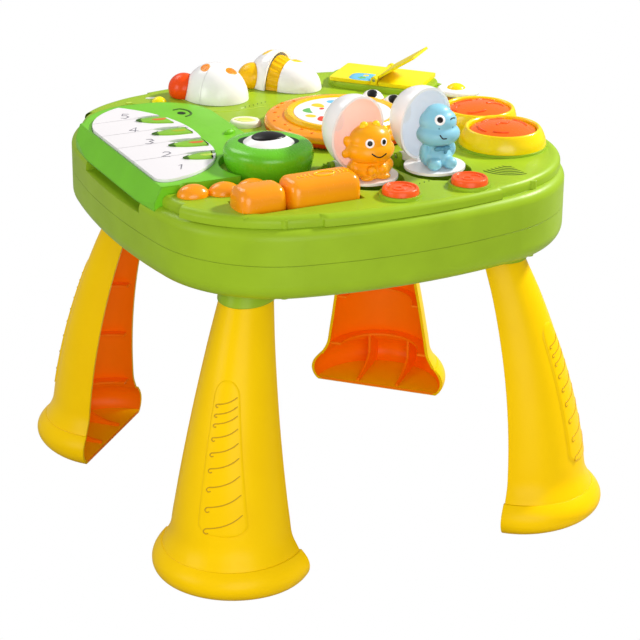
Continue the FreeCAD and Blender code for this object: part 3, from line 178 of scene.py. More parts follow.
def place(verts, x=0.0, y=0.0, z=0.0, turn=0.0):
    v = np.array(verts, float)
    c, s = math.cos(math.radians(turn)), math.sin(math.radians(turn))
    return np.stack([v[:, 0] * c - v[:, 1] * s + x, v[:, 0] * s + v[:, 1] * c + y, v[:, 2] + z], 1)


def join(parts):
    verts, faces, base = [], [], 0
    for v, f in parts:
        verts.append(np.array(v, float))
        faces += [tuple(i + base for i in q) for q in f]
        base += len(v)
    return np.concatenate(verts), faces


def angles(n):
    """Headings of n points evenly round a circle."""
    return np.linspace(0, 2 * math.pi, n + 1)[:-1]


def level(points, z):
    """Plan points at one height."""
    return [(x, y, z) for x, y in points]


def arc(x, y, rx, ry, degrees, z):
    """Points at one height on an oval about (x, y)."""
    return [(x + rx * math.cos(math.radians(d)), y + ry * math.sin(math.radians(d)), z) for d in degrees]


def sheet_faces(rows, cols):
    """Faces of an open grid of rows + 1 by cols + 1 points."""
    corners = [i * (cols + 1) + j for i in range(rows) for j in range(cols)]
    return [(k, k + 1, k + cols + 2, k + cols + 1) for k in corners]


def band_faces(rows, n):
    """Faces between rows + 1 closed rings of n points."""
    pairs = [(i * n + j, i * n + (j + 1) % n) for i in range(rows) for j in range(n)]
    return [(p, q, q + n, p + n) for p, q in pairs]


def rounded(profile, steps=5):
    """Open profile of (r, z, rounding): each inner corner becomes an arc-like curve."""
    out = []
    for k, p in enumerate(profile):
        r = p[2] if len(p) > 2 else 0
        if not r or k in (0, len(profile) - 1):
            out.append((p[0], p[1]))
            continue
        a, b = np.array(profile[k - 1][:2], float), np.array(profile[k + 1][:2], float)
        q = np.array(p[:2], float)
        da, db = a - q, b - q
        la, lb = np.linalg.norm(da), np.linalg.norm(db)
        ra, rb = min(r, la * 0.5), min(r, lb * 0.5)
        s, e = q + da / la * ra, q + db / lb * rb
        for t in np.linspace(0, 1, steps + 1):
            out.append(tuple((1 - t) ** 2 * s + 2 * t * (1 - t) * q + t * t * e))
    return out


def lathe(profile, n=96):
    """Turn (r, z) about Z; r of 0 closes the end."""
    verts, faces, rings = [], [], []
    for r, z in profile:
        if r < 1e-6:
            rings.append([len(verts)])
            verts.append((0, 0, z))
        else:
            rings.append(list(range(len(verts), len(verts) + n)))
            for k in range(n):
                a = 2 * math.pi * k / n
                verts.append((r * math.cos(a), r * math.sin(a), z))
    for a, b in zip(rings, rings[1:]):
        for k in range(n):
            j = (k + 1) % n
            if len(a) == 1 and len(b) == 1:
                break
            if len(a) == 1:
                faces.append((a[0], b[k], b[j]))
            elif len(b) == 1:
                faces.append((a[k], a[j], b[0]))
            else:
                faces.append((a[k], a[j], b[j], b[k]))
    return np.array(verts, float), faces


def dome_profile(r, h, n=8):
    """Ball cap from the rim up to the pole."""
    ball = (r * r + h * h) / (2 * h)
    top = math.asin(min(1.0, r / ball)) if h <= r else math.pi - math.asin(r / ball)
    return [(ball * math.sin(t), h - ball + ball * math.cos(t)) for t in np.linspace(top, 0, n + 1)]


def dome(r, h, n, base):
    """Ball cap standing on a height, without its rim point."""
    return [(p, base + z) for p, z in dome_profile(r, h, n)][1:]


def ellipsoid(rx, ry, rz, nu=48, nv=24, centre=(0, 0, 0), turn=None):
    prof = [(math.sin(t), math.cos(t)) for t in np.linspace(math.pi, 0, nv + 1)]
    prof[0], prof[-1] = (0, -1), (0, 1)
    v, f = lathe(prof, nu)
    v = v * np.array([rx, ry, rz])
    if turn is not None:
        v = v @ np.array(Matrix.Rotation(math.radians(turn[0]), 3, turn[1])).T
    return v + np.array(centre, float), f


def tube(path, radius, n=10, closed=False, flatten=1.0):
    """Round bar along a path, its ends drawn in."""
    p = np.array(path, float)
    count = len(p)
    verts, faces = [], []
    up = np.array([0, 0, 1.0])
    for k in range(count):
        a = p[(k - 1) % count] if (closed or k > 0) else p[k]
        b = p[(k + 1) % count] if (closed or k < count - 1) else p[k]
        t = (b - a) / (np.linalg.norm(b - a) + 1e-12)
        side = np.cross(t, up)
        if np.linalg.norm(side) < 1e-4:
            side = np.cross(t, np.array([0, 1.0, 0]))
        side /= np.linalg.norm(side)
        nrm = np.cross(side, t)
        r = radius[k] if hasattr(radius, "__len__") else radius
        if not closed and k in (0, count - 1):
            r *= 0.55
        for j in range(n):
            g = 2 * math.pi * j / n
            verts.append(p[k] + r * (math.cos(g) * side + flatten * math.sin(g) * nrm))
    for k in range(count - 1 if not closed else count):
        for j in range(n):
            a, b = k * n + j, k * n + (j + 1) % n
            c, d = ((k + 1) % count) * n + (j + 1) % n, ((k + 1) % count) * n + j
            faces.append((a, b, c, d))
    if not closed:
        faces.append(tuple(range(n))[::-1])
        faces.append(tuple((count - 1) * n + j for j in range(n)))
    return np.array(verts), faces


def curve(points, per=8, closed=False):
    """Smooth line through points."""
    p = [np.array(q, float) for q in points]
    out = []
    n = len(p)
    for k in range(n if closed else n - 1):
        a = p[(k - 1) % n] if closed or k else p[0]
        b, c = p[k], p[(k + 1) % n]
        d = p[(k + 2) % n] if closed or k < n - 2 else p[-1]
        for t in np.arange(per) / per:
            out.append(0.5 * (2 * b + (c - a) * t + (2 * a - 5 * b + 4 * c - d) * t * t
                              + (3 * b - a - 3 * c + d) * t ** 3))
    if not closed:
        out.append(p[-1])
    return out


def plate(outline, z0, z1, soft=0.6, steps=4):
    """Flat piece with a rounded upper edge from a closed outline."""
    pts = np.array([q[:2] for q in outline], float)
    area = 0.5 * np.sum(pts[:, 0] * np.roll(pts[:, 1], -1) - np.roll(pts[:, 0], -1) * pts[:, 1])
    if area < 0:
        pts = pts[::-1]
    n = len(pts)
    tangent = np.roll(pts, -1, 0) - np.roll(pts, 1, 0)
    tangent /= np.linalg.norm(tangent, axis=1)[:, None] + 1e-9
    inward = np.stack([-tangent[:, 1], tangent[:, 0]], 1)
    rings = [(0.0, z0)]
    for t in np.linspace(0, math.pi / 2, steps + 1):
        rings.append((soft * (1 - math.cos(t)), z1 - soft + soft * math.sin(t)))
    verts = [(*(q + w * inset), z) for inset, z in rings for q, w in zip(pts, inward)]
    faces = band_faces(len(rings) - 1, n)
    faces.append(tuple((len(rings) - 1) * n + j for j in range(n)))
    faces.append(tuple(range(n))[::-1])
    return np.array(verts), faces


def oval_line(a, b, n=48, power=2.0):
    out = []
    for k in range(n):
        t = 2 * math.pi * k / n
        c, s = math.cos(t), math.sin(t)
        out.append((a * math.copysign(abs(c) ** (2 / power), c), b * math.copysign(abs(s) ** (2 / power), s)))
    return out


def blob(parts, voxel, smooth):
    """One soft body out of overlapping ovals. Returns vertices in millimetres and faces."""
    v, f = join(parts)
    me = bpy.data.meshes.new("blob_tmp")
    me.from_pydata([tuple(q * MM) for q in v], [], f)
    ob = bpy.data.objects.new("blob_tmp", me)
    bpy.context.scene.collection.objects.link(ob)
    r = ob.modifiers.new("r", "REMESH")
    r.mode = "VOXEL"
    r.voxel_size = voxel * MM
    s = ob.modifiers.new("s", "SMOOTH")
    s.iterations = smooth
    s.factor = 0.5
    dg = bpy.context.evaluated_depsgraph_get()
    out = bpy.data.meshes.new_from_object(ob.evaluated_get(dg))
    verts = np.array([tuple(q.co) for q in out.vertices]) / MM
    faces = [tuple(p.vertices) for p in out.polygons]
    bpy.data.objects.remove(ob)
    return verts, faces


def surface_of(verts, faces):
    return BVHTree.FromPolygons([tuple(v) for v in verts], faces)


# CAD nodes that are shown as they are
LOOK = {
    "lower_case": GREEN, "upper_case": GREEN, "battery_cover": GREEN, "mode_switch": LIME, "book_base": GREEN,
    "keyboard_housing": BRIGHT, "key_leaves": LEAF, "case_screws": STEEL, "roller_axle": ORANGE, "speaker": DARK,
    "egg_hinge_pin_left": STEEL, "egg_hinge_pin_right": STEEL, "book_hinge_pin": STEEL, "batteries": CELL,
    "battery_contacts": STEEL, "circuit_board": BOARD, "fried_egg_base": ORANGE, "light_lens": LENS,
    "leg_front_left": YELLOW, "leg_front_right": YELLOW, "leg_back_left": YELLOW, "leg_back_right": YELLOW,
    "white_key_1": KEYS, "white_key_2": KEYS, "white_key_3": KEYS, "white_key_4": KEYS, "white_key_5": KEYS,
    "toe_button_1": ORANGE, "toe_button_2": ORANGE, "toe_button_3": ORANGE, "leaf_button": WHITE,
    "eye_knob": KNOB, "eye_ball": WHITE, "small_roller": ORANGE, "large_roller": ORANGE,
    "turntable_body": ORANGE, "turntable_ring": GOLD, "picture_disc": WHITE, "turntable_eyes": WHITE,
    "egg_shell_left": WHITE, "egg_shell_right": WHITE, "figure_left": FIG_O, "figure_right": FIG_B,
    "release_button_left": RED, "release_button_right": RED, "drum_cups": DRUM, "drum_pad_front": DEEP,
    "drum_pad_back": DEEP, "fried_egg_white": WHITE, "fried_egg_yolk": DRUM, "book_cover": PAGE, "book_page": PAGE,
    "slide_egg_left_back": WHITE, "slide_egg_left_cap": WHITE, "slide_egg_left_core": GOLD,
    "slide_egg_left_ball": BALL_RED, "slide_egg_right_back": WHITE, "slide_egg_right_cap": WHITE,
    "slide_egg_right_core": GOLD, "slide_egg_right_ball": GOLD,
}
for name, mat in LOOK.items():
    mesh = NODES[name].data
    mesh.materials.clear()
    mesh.materials.append(mat)


# Camera, lights and floor
CAMERA_HEADING, CAMERA_LIFT, CAMERA_ROLL = -26.2, 22.39, 0.58
CAMERA_FOCAL, CAMERA_WIDTH = 2284.11, 640.0
CAMERA_TARGET, CAMERA_DISTANCE = (-7.59, -32.87, 176.03), 2.2
LIGHT_AIM = (0, 0, 0.25)


def camera():
    a, e, roll = math.radians(CAMERA_HEADING), math.radians(CAMERA_LIFT), math.radians(CAMERA_ROLL)
    back = Vector((math.sin(a) * math.cos(e), -math.cos(a) * math.cos(e), math.sin(e)))
    right = Vector((math.cos(a), math.sin(a), 0.0))
    up = right.cross(-back)
    r2 = math.cos(roll) * right + math.sin(roll) * up
    u2 = -math.sin(roll) * right + math.cos(roll) * up
    data = bpy.data.cameras.new("camera")
    data.sensor_width = 36.0
    data.lens = 36.0 * CAMERA_FOCAL / CAMERA_WIDTH
    data.clip_start, data.clip_end = 0.1, 20.0
    cam = bpy.data.objects.new("camera", data)
    bpy.context.scene.collection.objects.link(cam)
    spot = Vector(CAMERA_TARGET) * MM + back * CAMERA_DISTANCE
    cam.matrix_world = Matrix(((r2.x, u2.x, back.x, spot.x), (r2.y, u2.y, back.y, spot.y),
                               (r2.z, u2.z, back.z, spot.z), (0, 0, 0, 1)))
    bpy.context.scene.camera = cam


def light(name, spot, size, power, colour):
    data = bpy.data.lights.new(name, "AREA")
    data.shape = "DISK"
    data.size = size
    data.energy = power
    data.color = colour
    ob = bpy.data.objects.new(name, data)
    bpy.context.scene.collection.objects.link(ob)
    ob.location = spot
    ob.rotation_mode = "QUATERNION"
    ob.rotation_quaternion = (Vector(LIGHT_AIM) - Vector(spot)).to_track_quat("-Z", "Y")


def studio():
    scene = bpy.context.scene
    scene.view_settings.view_transform = "Standard"
    scene.view_settings.look = "None"
    world = bpy.data.worlds.new("world")
    scene.world = world
    world.use_nodes = True
    n, l = world.node_tree.nodes, world.node_tree.links
    bg = n["Background"]
    bg.inputs["Color"].default_value = (0.95, 0.97, 1.0, 1)
    bg.inputs["Strength"].default_value = 0.40
    white = n.new("ShaderNodeBackground")
    white.inputs["Color"].default_value = (1, 1, 1, 1)
    path = n.new("ShaderNodeLightPath")
    mix = n.new("ShaderNodeMixShader")
    l.new(path.outputs["Is Camera Ray"], mix.inputs["Fac"])
    l.new(bg.outputs["Background"], mix.inputs[1])
    l.new(white.outputs["Background"], mix.inputs[2])
    l.new(mix.outputs["Shader"], n["World Output"].inputs["Surface"])
    light("key", (1.25, 0.0, 1.35), 0.22, 30, (1.0, 0.97, 0.93))
    light("fill", (-0.5, -1.9, 0.7), 1.5, 19, (1.0, 1.0, 1.0))
    light("left", (-1.9, -0.2, 0.8), 0.9, 9, (1.0, 0.99, 0.94))
    light("back", (-0.4, 1.2, 1.6), 0.9, 8, (1.0, 1.0, 0.98))
    me = bpy.data.meshes.new("floor")
    me.from_pydata(level([(-6, -6), (6, -6), (6, 6), (-6, 6)], -0.0005), [], [(0, 1, 2, 3)])
    ob = bpy.data.objects.new("floor", me)
    scene.collection.objects.link(ob)
    m = bpy.data.materials.new("floor")
    m.use_nodes = True
    n, l = m.node_tree.nodes, m.node_tree.links
    emit = n.new("ShaderNodeEmission")
    emit.inputs["Color"].default_value = (1, 1, 1, 1)
    path = n.new("ShaderNodeLightPath")
    mix = n.new("ShaderNodeMixShader")
    bsdf = n["Principled BSDF"]
    bsdf.inputs["Base Color"].default_value = (0.42, 0.41, 0.38, 1)
    bsdf.inputs["Roughness"].default_value = 0.9
    l.new(path.outputs["Is Camera Ray"], mix.inputs["Fac"])
    l.new(bsdf.outputs["BSDF"], mix.inputs[1])
    l.new(emit.outputs["Emission"], mix.inputs[2])
    l.new(mix.outputs["Shader"], n["Material Output"].inputs["Surface"])
    me.materials.append(m)


# Reference view: directions used to lay small details where the photograph shows them
VIEW_BACK = np.array((-0.4082, -0.8296, 0.3809))
VIEW_RIGHT = np.array((0.8973, -0.4415, 0.0))
VIEW_UP = np.cross(-VIEW_BACK, VIEW_RIGHT) * -1.0


def tree_of(*names):
    verts, faces = [], []
    for name in names:
        ob = NODES[name]
        base = len(verts)
        verts += [tuple((ob.matrix_world @ v.co) / MM) for v in ob.data.vertices]
        faces += [tuple(i + base for i in p.vertices) for p in ob.data.polygons]
    return BVHTree.FromPolygons(verts, faces)


def skin(tree, point, normal, lift=0.0, reach=25.0):
    """Drop a point on a surface along a direction, then lift it off by a little."""
    n = Vector(tuple(float(c) for c in normal)).normalized()
    p = Vector(tuple(float(c) for c in point))
    hit = tree.ray_cast(p + n * reach, -n, reach * 3)
    if hit[0] is None:
        hit = tree.find_nearest(p)
    return np.array(hit[0] + hit[1] * lift)


def seen(tree, base, right, up):
    """Where the reference view meets a surface, right and up of a base point."""
    p = np.array(base) + VIEW_RIGHT * right + VIEW_UP * up
    hit = tree.ray_cast(Vector(tuple(p + VIEW_BACK * 150)), Vector(tuple(-VIEW_BACK)))
    if hit[0] is None:
        hit = tree.find_nearest(Vector(tuple(p)))
    return np.array(hit[0]), np.array(hit[1])


def decal(name, tree, centre, normal, outline, mat, body, lift=0.25, rings=7, turn=0.0, top=UP):
    """Thin raised patch that follows a surface; the outline is drawn in its tangent plane."""
    w = np.array(normal, float) / np.linalg.norm(normal)
    u = np.cross(np.array(top, float), w)
    u /= np.linalg.norm(u)
    v = np.cross(w, u)
    c, s = math.cos(math.radians(turn)), math.sin(math.radians(turn))
    n = len(outline)
    verts = [skin(tree, centre, w, lift)]
    for k in range(1, rings + 1):
        r = k / rings
        for a, b in outline:
            p = np.array(centre) + u * (a * c - b * s) * r + v * (a * s + b * c) * r
            h = lift * min(1.0, (1 - r) * rings * 0.7 + 0.35)
            verts.append(skin(tree, p, w, h))
    for a, b in outline:
        p = np.array(centre) + u * (a * c - b * s) * 1.02 + v * (a * s + b * c) * 1.02
        verts.append(skin(tree, p, w, -0.4))
    faces = [(0, 1 + j, 1 + (j + 1) % n) for j in range(n)]
    for k in range(rings):
        for j in range(n):
            a, b = 1 + k * n + j, 1 + k * n + (j + 1) % n
            faces.append((a, a + n, b + n, b))
    make(name, verts, faces, mat, body, angle=70)


def flat_decal(name, tree, centre, outline, mat, body, lift, turn=0.0, rings=7):
    """Decal on a face that looks up."""
    decal(name, tree, centre, UP, outline, mat, body, lift=lift, rings=rings, turn=turn, top=NORTH)


def strokes(name, tree, lines, radius, mat, body, lift=0.1):
    """Raised lines that follow a surface seen from above."""
    parts = []
    for line in lines:
        path = [skin(tree, p, UP, lift) for p in curve(line, 6)]
        parts.append(tube(path, radius, 8, flatten=0.6))
    v, f = join(parts)
    make(name, v, f, mat, body, angle=70)


# Legs: the hollow inside is painted a deeper orange with a faint glow, as painted bounce light between the yellow
# walls, and each leg wears a ruled pad on its front
# Deeper orange with a glow inside the legs: painted bounce light from the yellow walls
LEG_BOUNCE_PAINT = plastic("leg_inner_painted_bounce", (1.0, 0.50, 0.0), rough=0.4, vary=0.03, glow=0.08, shine=0.2)
# Darker yellow for the leg pad's rules: painted shade in the grooves
GROOVE_SHADE_Y = plastic("leg_groove_painted_shade", (0.80, 0.62, 0.02), rough=0.5, bevel=0)
LEG_TURNS = {"leg_front_left": 135.0, "leg_front_right": 225.0, "leg_back_right": 315.0,
             "leg_back_left": 45.0}
# Height, half width and depth of the foot
FOOT_ROWS = ((0, 66.7, 60.8), (4.2, 71.1, 71.8), (13.5, 74.5, 78.0), (24, 71.1, 74.9), (29.5, 66.3, 69.0))


def leg_section(z):
    t = (z - 42.0) / 222.0
    face = (153.3 * (1 - t) + 123.3 * t + 26.8 * t * (1 - t)) * math.sqrt(2)
    half = 57.5 * (1 - t) + 23.5 * t
    deep = 61.0 * (1 - t) + 31.0 * t + 4.0 * t * (1 - t)
    if z < 29.5:
        zs = [r[0] for r in FOOT_ROWS]
        half, deep = np.interp(z, zs, [r[1] for r in FOOT_ROWS]), np.interp(z, zs, [r[2] for r in FOOT_ROWS])
        face = 152.8 * math.sqrt(2)
    elif z < 47.0:
        wide = np.interp((z - 29.0) / 18.0, (0, 0.3, 0.65, 1.0), (5.5, 3.6, 1.2, 0.0))
        half, deep = half + wide, deep + wide
    return face, half, deep


def paint_leg_bounce(node, turn):
    ob = NODES[node]
    me = ob.data
    me.materials.append(LEG_BOUNCE_PAINT)
    c, s = math.cos(math.radians(-turn)), math.sin(math.radians(-turn))
    for p in me.polygons:
        q, n = p.center / MM, p.normal
        x, y = q.x * c - q.y * s, q.x * s + q.y * c
        nx, ny = n.x * c - n.y * s, n.x * s + n.y * c
        face, half, deep = leg_section(q.z)
        y = max(y - face, 0.0)
        share = (x / half) ** 2 + (y / deep) ** 2
        outward = nx * x / half ** 2 + ny * y / deep ** 2
        rim = ny < -0.9 and abs(x) > half - 5.5
        ledge = n.z > 0.3 and share > 0.9 and 24 < q.z < 36
        outside = share > 0.925 and outward > 0
        plate_top = n.z > 0.95 and abs(q.z - 3.0) < 0.5
        # Faces inside the hollow take the painted bounce material
        if not (outside or rim or ledge or plate_top or q.z < 0.4):
            p.material_index = 1


def leg_point(z, across, turn, out=0.0):
    """Point on the leg's outer surface, a distance across from its middle line."""
    face, half, deep = leg_section(z)
    a = math.pi / 2 - across / (0.5 * (half + deep))
    x, y = (half + out) * math.cos(a), face + (deep + out) * math.sin(a)
    c, s = math.cos(math.radians(turn)), math.sin(math.radians(turn))
    return (x * c - y * s, x * s + y * c, z)


PAD_FOOT, PAD_TOP = 60.0, 197.0
PAD_RULES = (0.06, 0.20, 0.33, 0.45, 0.55, 0.645, 0.73, 0.79, 0.85)


def leg_pad(name, turn, lean):
    """Raised panel up a leg, with curved rules; lean shifts its foot and its top sideways."""
    rows, cols = 90, 24
    verts = []
    for i in range(rows + 1):
        z = PAD_FOOT + (PAD_TOP - PAD_FOOT) * i / rows
        v = i / rows
        near = min(z - PAD_FOOT, (PAD_TOP - z) * 0.8)
        wide = 26.0 - 14.0 * v
        middle = lean[0] * (1 - v) + lean[1] * v
        end = math.sqrt(max(0.0, 1 - max(0.0, 1 - near / 11.0) ** 2))
        for j in range(cols + 1):
            u = -1 + 2 * j / cols
            reach = (1 - abs(u)) * wide * max(end, 0.05)
            rise = min(1.0, reach / 2.2, near / 2.2)
            out = -0.3 + 1.3 * math.sin(rise * math.pi / 2)
            verts.append(leg_point(z, middle + u * wide * max(end, 0.05), turn, out))
    make(name, verts, sheet_faces(rows, cols), YELLOW, "table", angle=60)
    parts = []
    for v in PAD_RULES:
        z = PAD_FOOT + (PAD_TOP - PAD_FOOT) * v
        wide = 26.0 - 14.0 * v
        middle = lean[0] * (1 - v) + lean[1] * v
        drop = 6.0 - 3.5 * v
        rule = [(-0.72, drop * 2.2), (-0.4, drop * 1.2), (0.0, drop * 0.45), (0.4, 0.0), (0.62, -drop * 0.2),
                (0.70, -drop * 0.65), (0.62, -drop), (0.5, -drop * 0.8)]
        path = [leg_point(z + dz, middle + u * wide, turn, 0.95) for u, dz in rule]
        parts.append(tube(curve(path, 4), 0.6, 6))
    v, f = join(parts)
    make(name + "_rules", v, f, GROOVE_SHADE_Y, "table", angle=60)


def leg_collar(name, turn):
    """Green rim of the socket where a leg enters the tray."""
    verts, n = [], 40
    rings = ((254.5, 0.4), (255.2, 1.5), (257.5, 1.9), (267.0, 1.9))
    for z, out in rings:
        for j in range(n + 1):
            face, half, deep = leg_section(min(z, 264.0))
            a = math.pi * j / n
            x, y = (half + out) * math.cos(a), face + (deep + out) * math.sin(a)
            c, w = math.cos(math.radians(turn)), math.sin(math.radians(turn))
            verts.append((x * c - y * w, x * w + y * c, z))
    make(name, verts, sheet_faces(len(rings) - 1, n), GREEN, "table", angle=60)


LEANS = {"leg_front_left": (-12.0, -3.5), "leg_front_right": (0.5, 8.0), "leg_back_right": (-5.0, 2.0),
         "leg_back_left": (-5.0, 2.0)}
for node, turn in LEG_TURNS.items():
    paint_leg_bounce(node, turn)
    leg_pad(node.replace("leg_", "leg_pad_"), turn, LEANS[node])
    leg_collar(node.replace("leg_", "leg_collar_"), turn)


# Deck edge: soft lip round the front, right and back of the deck
def in_tray(x, y, inset):
    """Whether a plan point, by its distances from the middle lines, is inside the drawn-in outline."""
    if x < 88.762:
        return math.hypot(x, y + 302.5) < 520 - inset
    if y < 83.15:
        return math.hypot(x + 490.0, y) < 700 - inset
    return math.hypot(x - 88.762, y - 83.15) < 120 - inset


def tray_line(inset, start, end, n=320):
    """Points of the tray's plan between two headings, drawn in by inset."""
    out = []
    for t in np.linspace(math.radians(start), math.radians(end), n):
        c, w = math.cos(t), math.sin(t)
        low, high = 150.0, 250.0
        for _ in range(24):
            reach = 0.5 * (low + high)
            if in_tray(abs(c * reach), abs(w * reach), inset):
                low = reach
            else:
                high = reach
        out.append((c * low, w * low))
    return out


LIP_INSET, LIP_LOW, LIP_SHOULDER = 6.2, 340.1, 344.4
LIP_START, LIP_END = -146.0, 136.0


def deck_lip():
    rings = [(LIP_INSET, LIP_LOW), (LIP_INSET, LIP_SHOULDER)]
    rings += [(LIP_INSET + 6.5 * (1 - math.cos(t)), LIP_SHOULDER + 5.8 * math.sin(t))
              for t in np.linspace(0.2, math.pi / 2, 9)]
    rings += [(15.5, 350.1), (17.0, 349.9)]
    verts = []
    for inset, z in rings:
        line = tray_line(inset, LIP_START, LIP_END)
        verts += level(line, z)
    make("deck_lip", verts, sheet_faces(len(rings) - 1, len(line) - 1), GREEN, "table", angle=60)


deck_lip()


# Keys: plain numbers on the keys, and leaves with a patch and a dark tip between them
DIGITS = {
    1: [(0.2, 1.25), (0.5, 1.6), (0.5, 0.0)],
    2: [(0.05, 1.2), (0.2, 1.55), (0.7, 1.55), (0.9, 1.2), (0.7, 0.8), (0.05, 0.0), (0.95, 0.0)],
    3: [(0.05, 1.5), (0.6, 1.6), (0.9, 1.2), (0.45, 0.85), (0.9, 0.45), (0.6, 0.0), (0.05, 0.1)],
    4: [(0.65, 0.0), (0.65, 1.6), (0.0, 0.5), (1.0, 0.5)],
    5: [(0.85, 1.6), (0.15, 1.6), (0.1, 0.95), (0.6, 1.0), (0.9, 0.55), (0.6, 0.0), (0.05, 0.1)],
}
DIGIT_SIZE, DIGIT_Z = 8.5, 360.1
KEY_MARKS = ((-160, -58), (-158, -19), (-158, 22), (-158, 61), (-150, 104))
c, s = math.cos(math.radians(-26)), math.sin(math.radians(-26))
for k, (x, y) in enumerate(KEY_MARKS, 1):
    path = []
    for u, v in DIGITS[k]:
        a, b = (u - 0.5) * DIGIT_SIZE, (v - 0.8) * DIGIT_SIZE
        path.append((x + a * c - b * s, y + a * s + b * c, DIGIT_Z))
    v, f = tube(path, 0.7, 6, flatten=0.4)
    make("key_number_%d" % k, v, f, MARK, "key_%d" % k, angle=60)

# Right edge of the key field, where the leaves end
EDGE_Y = (-85, -75, -65, -56, -40, -20, 0, 30, 50, 70, 96, 110, 120, 133)
EDGE_X = (-181, -152, -139, -129, -121, -114.5, -111.3, -111.6, -113, -115.5, -120, -128, -135, -146)
OLIVE = plastic("leaf_olive", (0.66, 0.70, 0.10), rough=0.4, bevel=0)
RUST = plastic("leaf_rust", (0.86, 0.42, 0.16), rough=0.4, bevel=0)
LEAVES = (((-146, 85), (-113, 74), RUST), ((-148, 40), (-106, 37), OLIVE),
          ((-147, 2), (-105, -3), RUST), ((-149, -37), (-112, -40), LIME))
LEAF_HALF = 9.2
LEAF_TIP = ((-0.02, 0.0), (0.05, 2.4), (0.14, 4.4), (0.12, 2.0), (0.10, 0.0), (0.12, -2.0), (0.14, -4.4),
            (0.05, -2.4))
LEAF_PATCH = [(6.5 * math.cos(t) * (1 + 0.2 * math.sin(3 * t)), 3.4 * math.sin(t) * (1 + 0.25 * math.cos(2 * t)))
              for t in angles(30)]
across = np.array((0.33, 0.94))
for k, (tip, end, ink) in enumerate(LEAVES):
    tip, end = np.array(tip, float), np.array(end, float)
    along = end - tip
    edge = []
    for side in (1, -1):
        for t in (np.linspace(0, 1, 19) if side == 1 else np.linspace(1, 0, 19)[:-1]):
            wide = LEAF_HALF * math.sin(math.pi * min(0.5, 0.5 * (t / 0.7) ** 0.8)) if t < 0.7 else LEAF_HALF
            q = tip + along * t + across * side * wide
            edge.append((min(q[0], np.interp(q[1], EDGE_Y, EDGE_X) - 0.3), q[1]))
    v, f = plate(edge, 353.4, 361.4, 0.8)
    make("leaf_cap_%d" % k, v, f, LEAF, "table", replaces=("key_leaves",) if k == 0 else (), angle=50)
    x, y = tip + along * 0.62
    flat_decal("leaf_patch_%d" % k, surface_of(v, f), (x, y, 362), LEAF_PATCH, ink, "table", 0.25, -8, 3)
    v, f = plate([tuple(tip + along * a + across * b) for a, b in LEAF_TIP], 360.4, 361.7, 0.3)
    make("leaf_tip_%d" % k, v, f, SHADE, "table", angle=50)


# Eye knob: round-shouldered drum, domed eye on an almond, oval pupil
EYE_AT = (-80.0, -71.0)
EYE_TURN = -26
v, f = lathe([(0, 350.6)] + rounded([(37.5, 350.6), (38.2, 352, 1), (41.5, 364, 14), (40.6, 374.5, 12),
                                     (30.0, 377.9, 5), (0, 377.6)], 8), 128)
make("knob_shell", place(v, *EYE_AT), f, KNOB, "eye", replaces=("eye_knob",), angle=50)
almond = [(28.0 * math.copysign(abs(math.cos(t)) ** 1.25, math.cos(t)), 19.0 * math.sin(t)) for t in angles(72)]
v, f = plate(almond, 376.0, 377.9, 0.6)
make("eye_surround", place(v, *EYE_AT, turn=EYE_TURN), f, TIP, "eye", angle=50)
v, f = lathe([(0, 376.6), (25.4, 376.6), (25.4, 377.2)] + dome(25.2, 8.6, 14, 377.4), 96)
v[:, 1] *= 0.9
v[:, :2] *= 0.95
v = place(v, EYE_AT[0] - 1.2, EYE_AT[1] - 3.0, turn=EYE_TURN)
make("eye_white", v, f, WHITE, "eye", replaces=("eye_ball",), angle=60)
pupil_at = (EYE_AT[0] - 1.0, EYE_AT[1] - 2.5, 386)
flat_decal("eye_pupil", surface_of(v, f), pupil_at, oval_line(16.0, 13.0, 56), BLACK, "eye", 0.5)


# Toe buttons and leaf button: soft pads
PAD_LOW = 346.5
TOE_BASE = 350.6
for k, (x, y) in enumerate(((-169.5, -107), (-142, -112), (-115.5, -114)), 1):
    v, f = lathe([(0, PAD_LOW), (1.0, PAD_LOW), (1.0, TOE_BASE)] + dome(1.0, 0.99, 14, TOE_BASE), 64)
    v[:, 0] *= 14.6
    v[:, 1] *= 11.8
    v[:, 2] = np.where(v[:, 2] > TOE_BASE, TOE_BASE + (v[:, 2] - TOE_BASE) * 9.4, v[:, 2])
    make("toe_pad_%d" % k, place(v, x, y, turn=-8), f, ORANGE, "toe_%d" % k,
         replaces=("toe_button_%d" % k,), angle=60)
CREAM = plastic("cream", (0.95, 0.94, 0.84), rough=0.28, vary=0.01)
PALE = plastic("pale_green", (0.90, 0.92, 0.50), rough=0.35, bevel=0)
v, f = plate(oval_line(15.0, 12.5, 64, 2.1), PAD_LOW, 355.2, 3.0, 6)
v = place(v, -43, 62, turn=-26)
make("leaf_pad", v, f, CREAM, "leaf", replaces=("leaf_button",), angle=60)
leaf_tree = surface_of(v, f)
relief = [(9.5 * math.cos(t) * (1 - 0.25 * math.sin(2 * t)), 6.2 * math.sin(t)) for t in angles(40)]
flat_decal("leaf_relief", leaf_tree, (-44, 61, 356), relief, PALE, "leaf", 0.7, -20)
strokes("leaf_vein", leaf_tree, [level([(-50, 64), (-44, 61), (-38, 58)], 356)], 0.5, LIME, "leaf",
        lift=0.75)


# Rollers: rounded-square drums on the axle
ROLLER_END = 11.0
END_POWER = 2.6
AXLE_AT = (0, -155, 353)


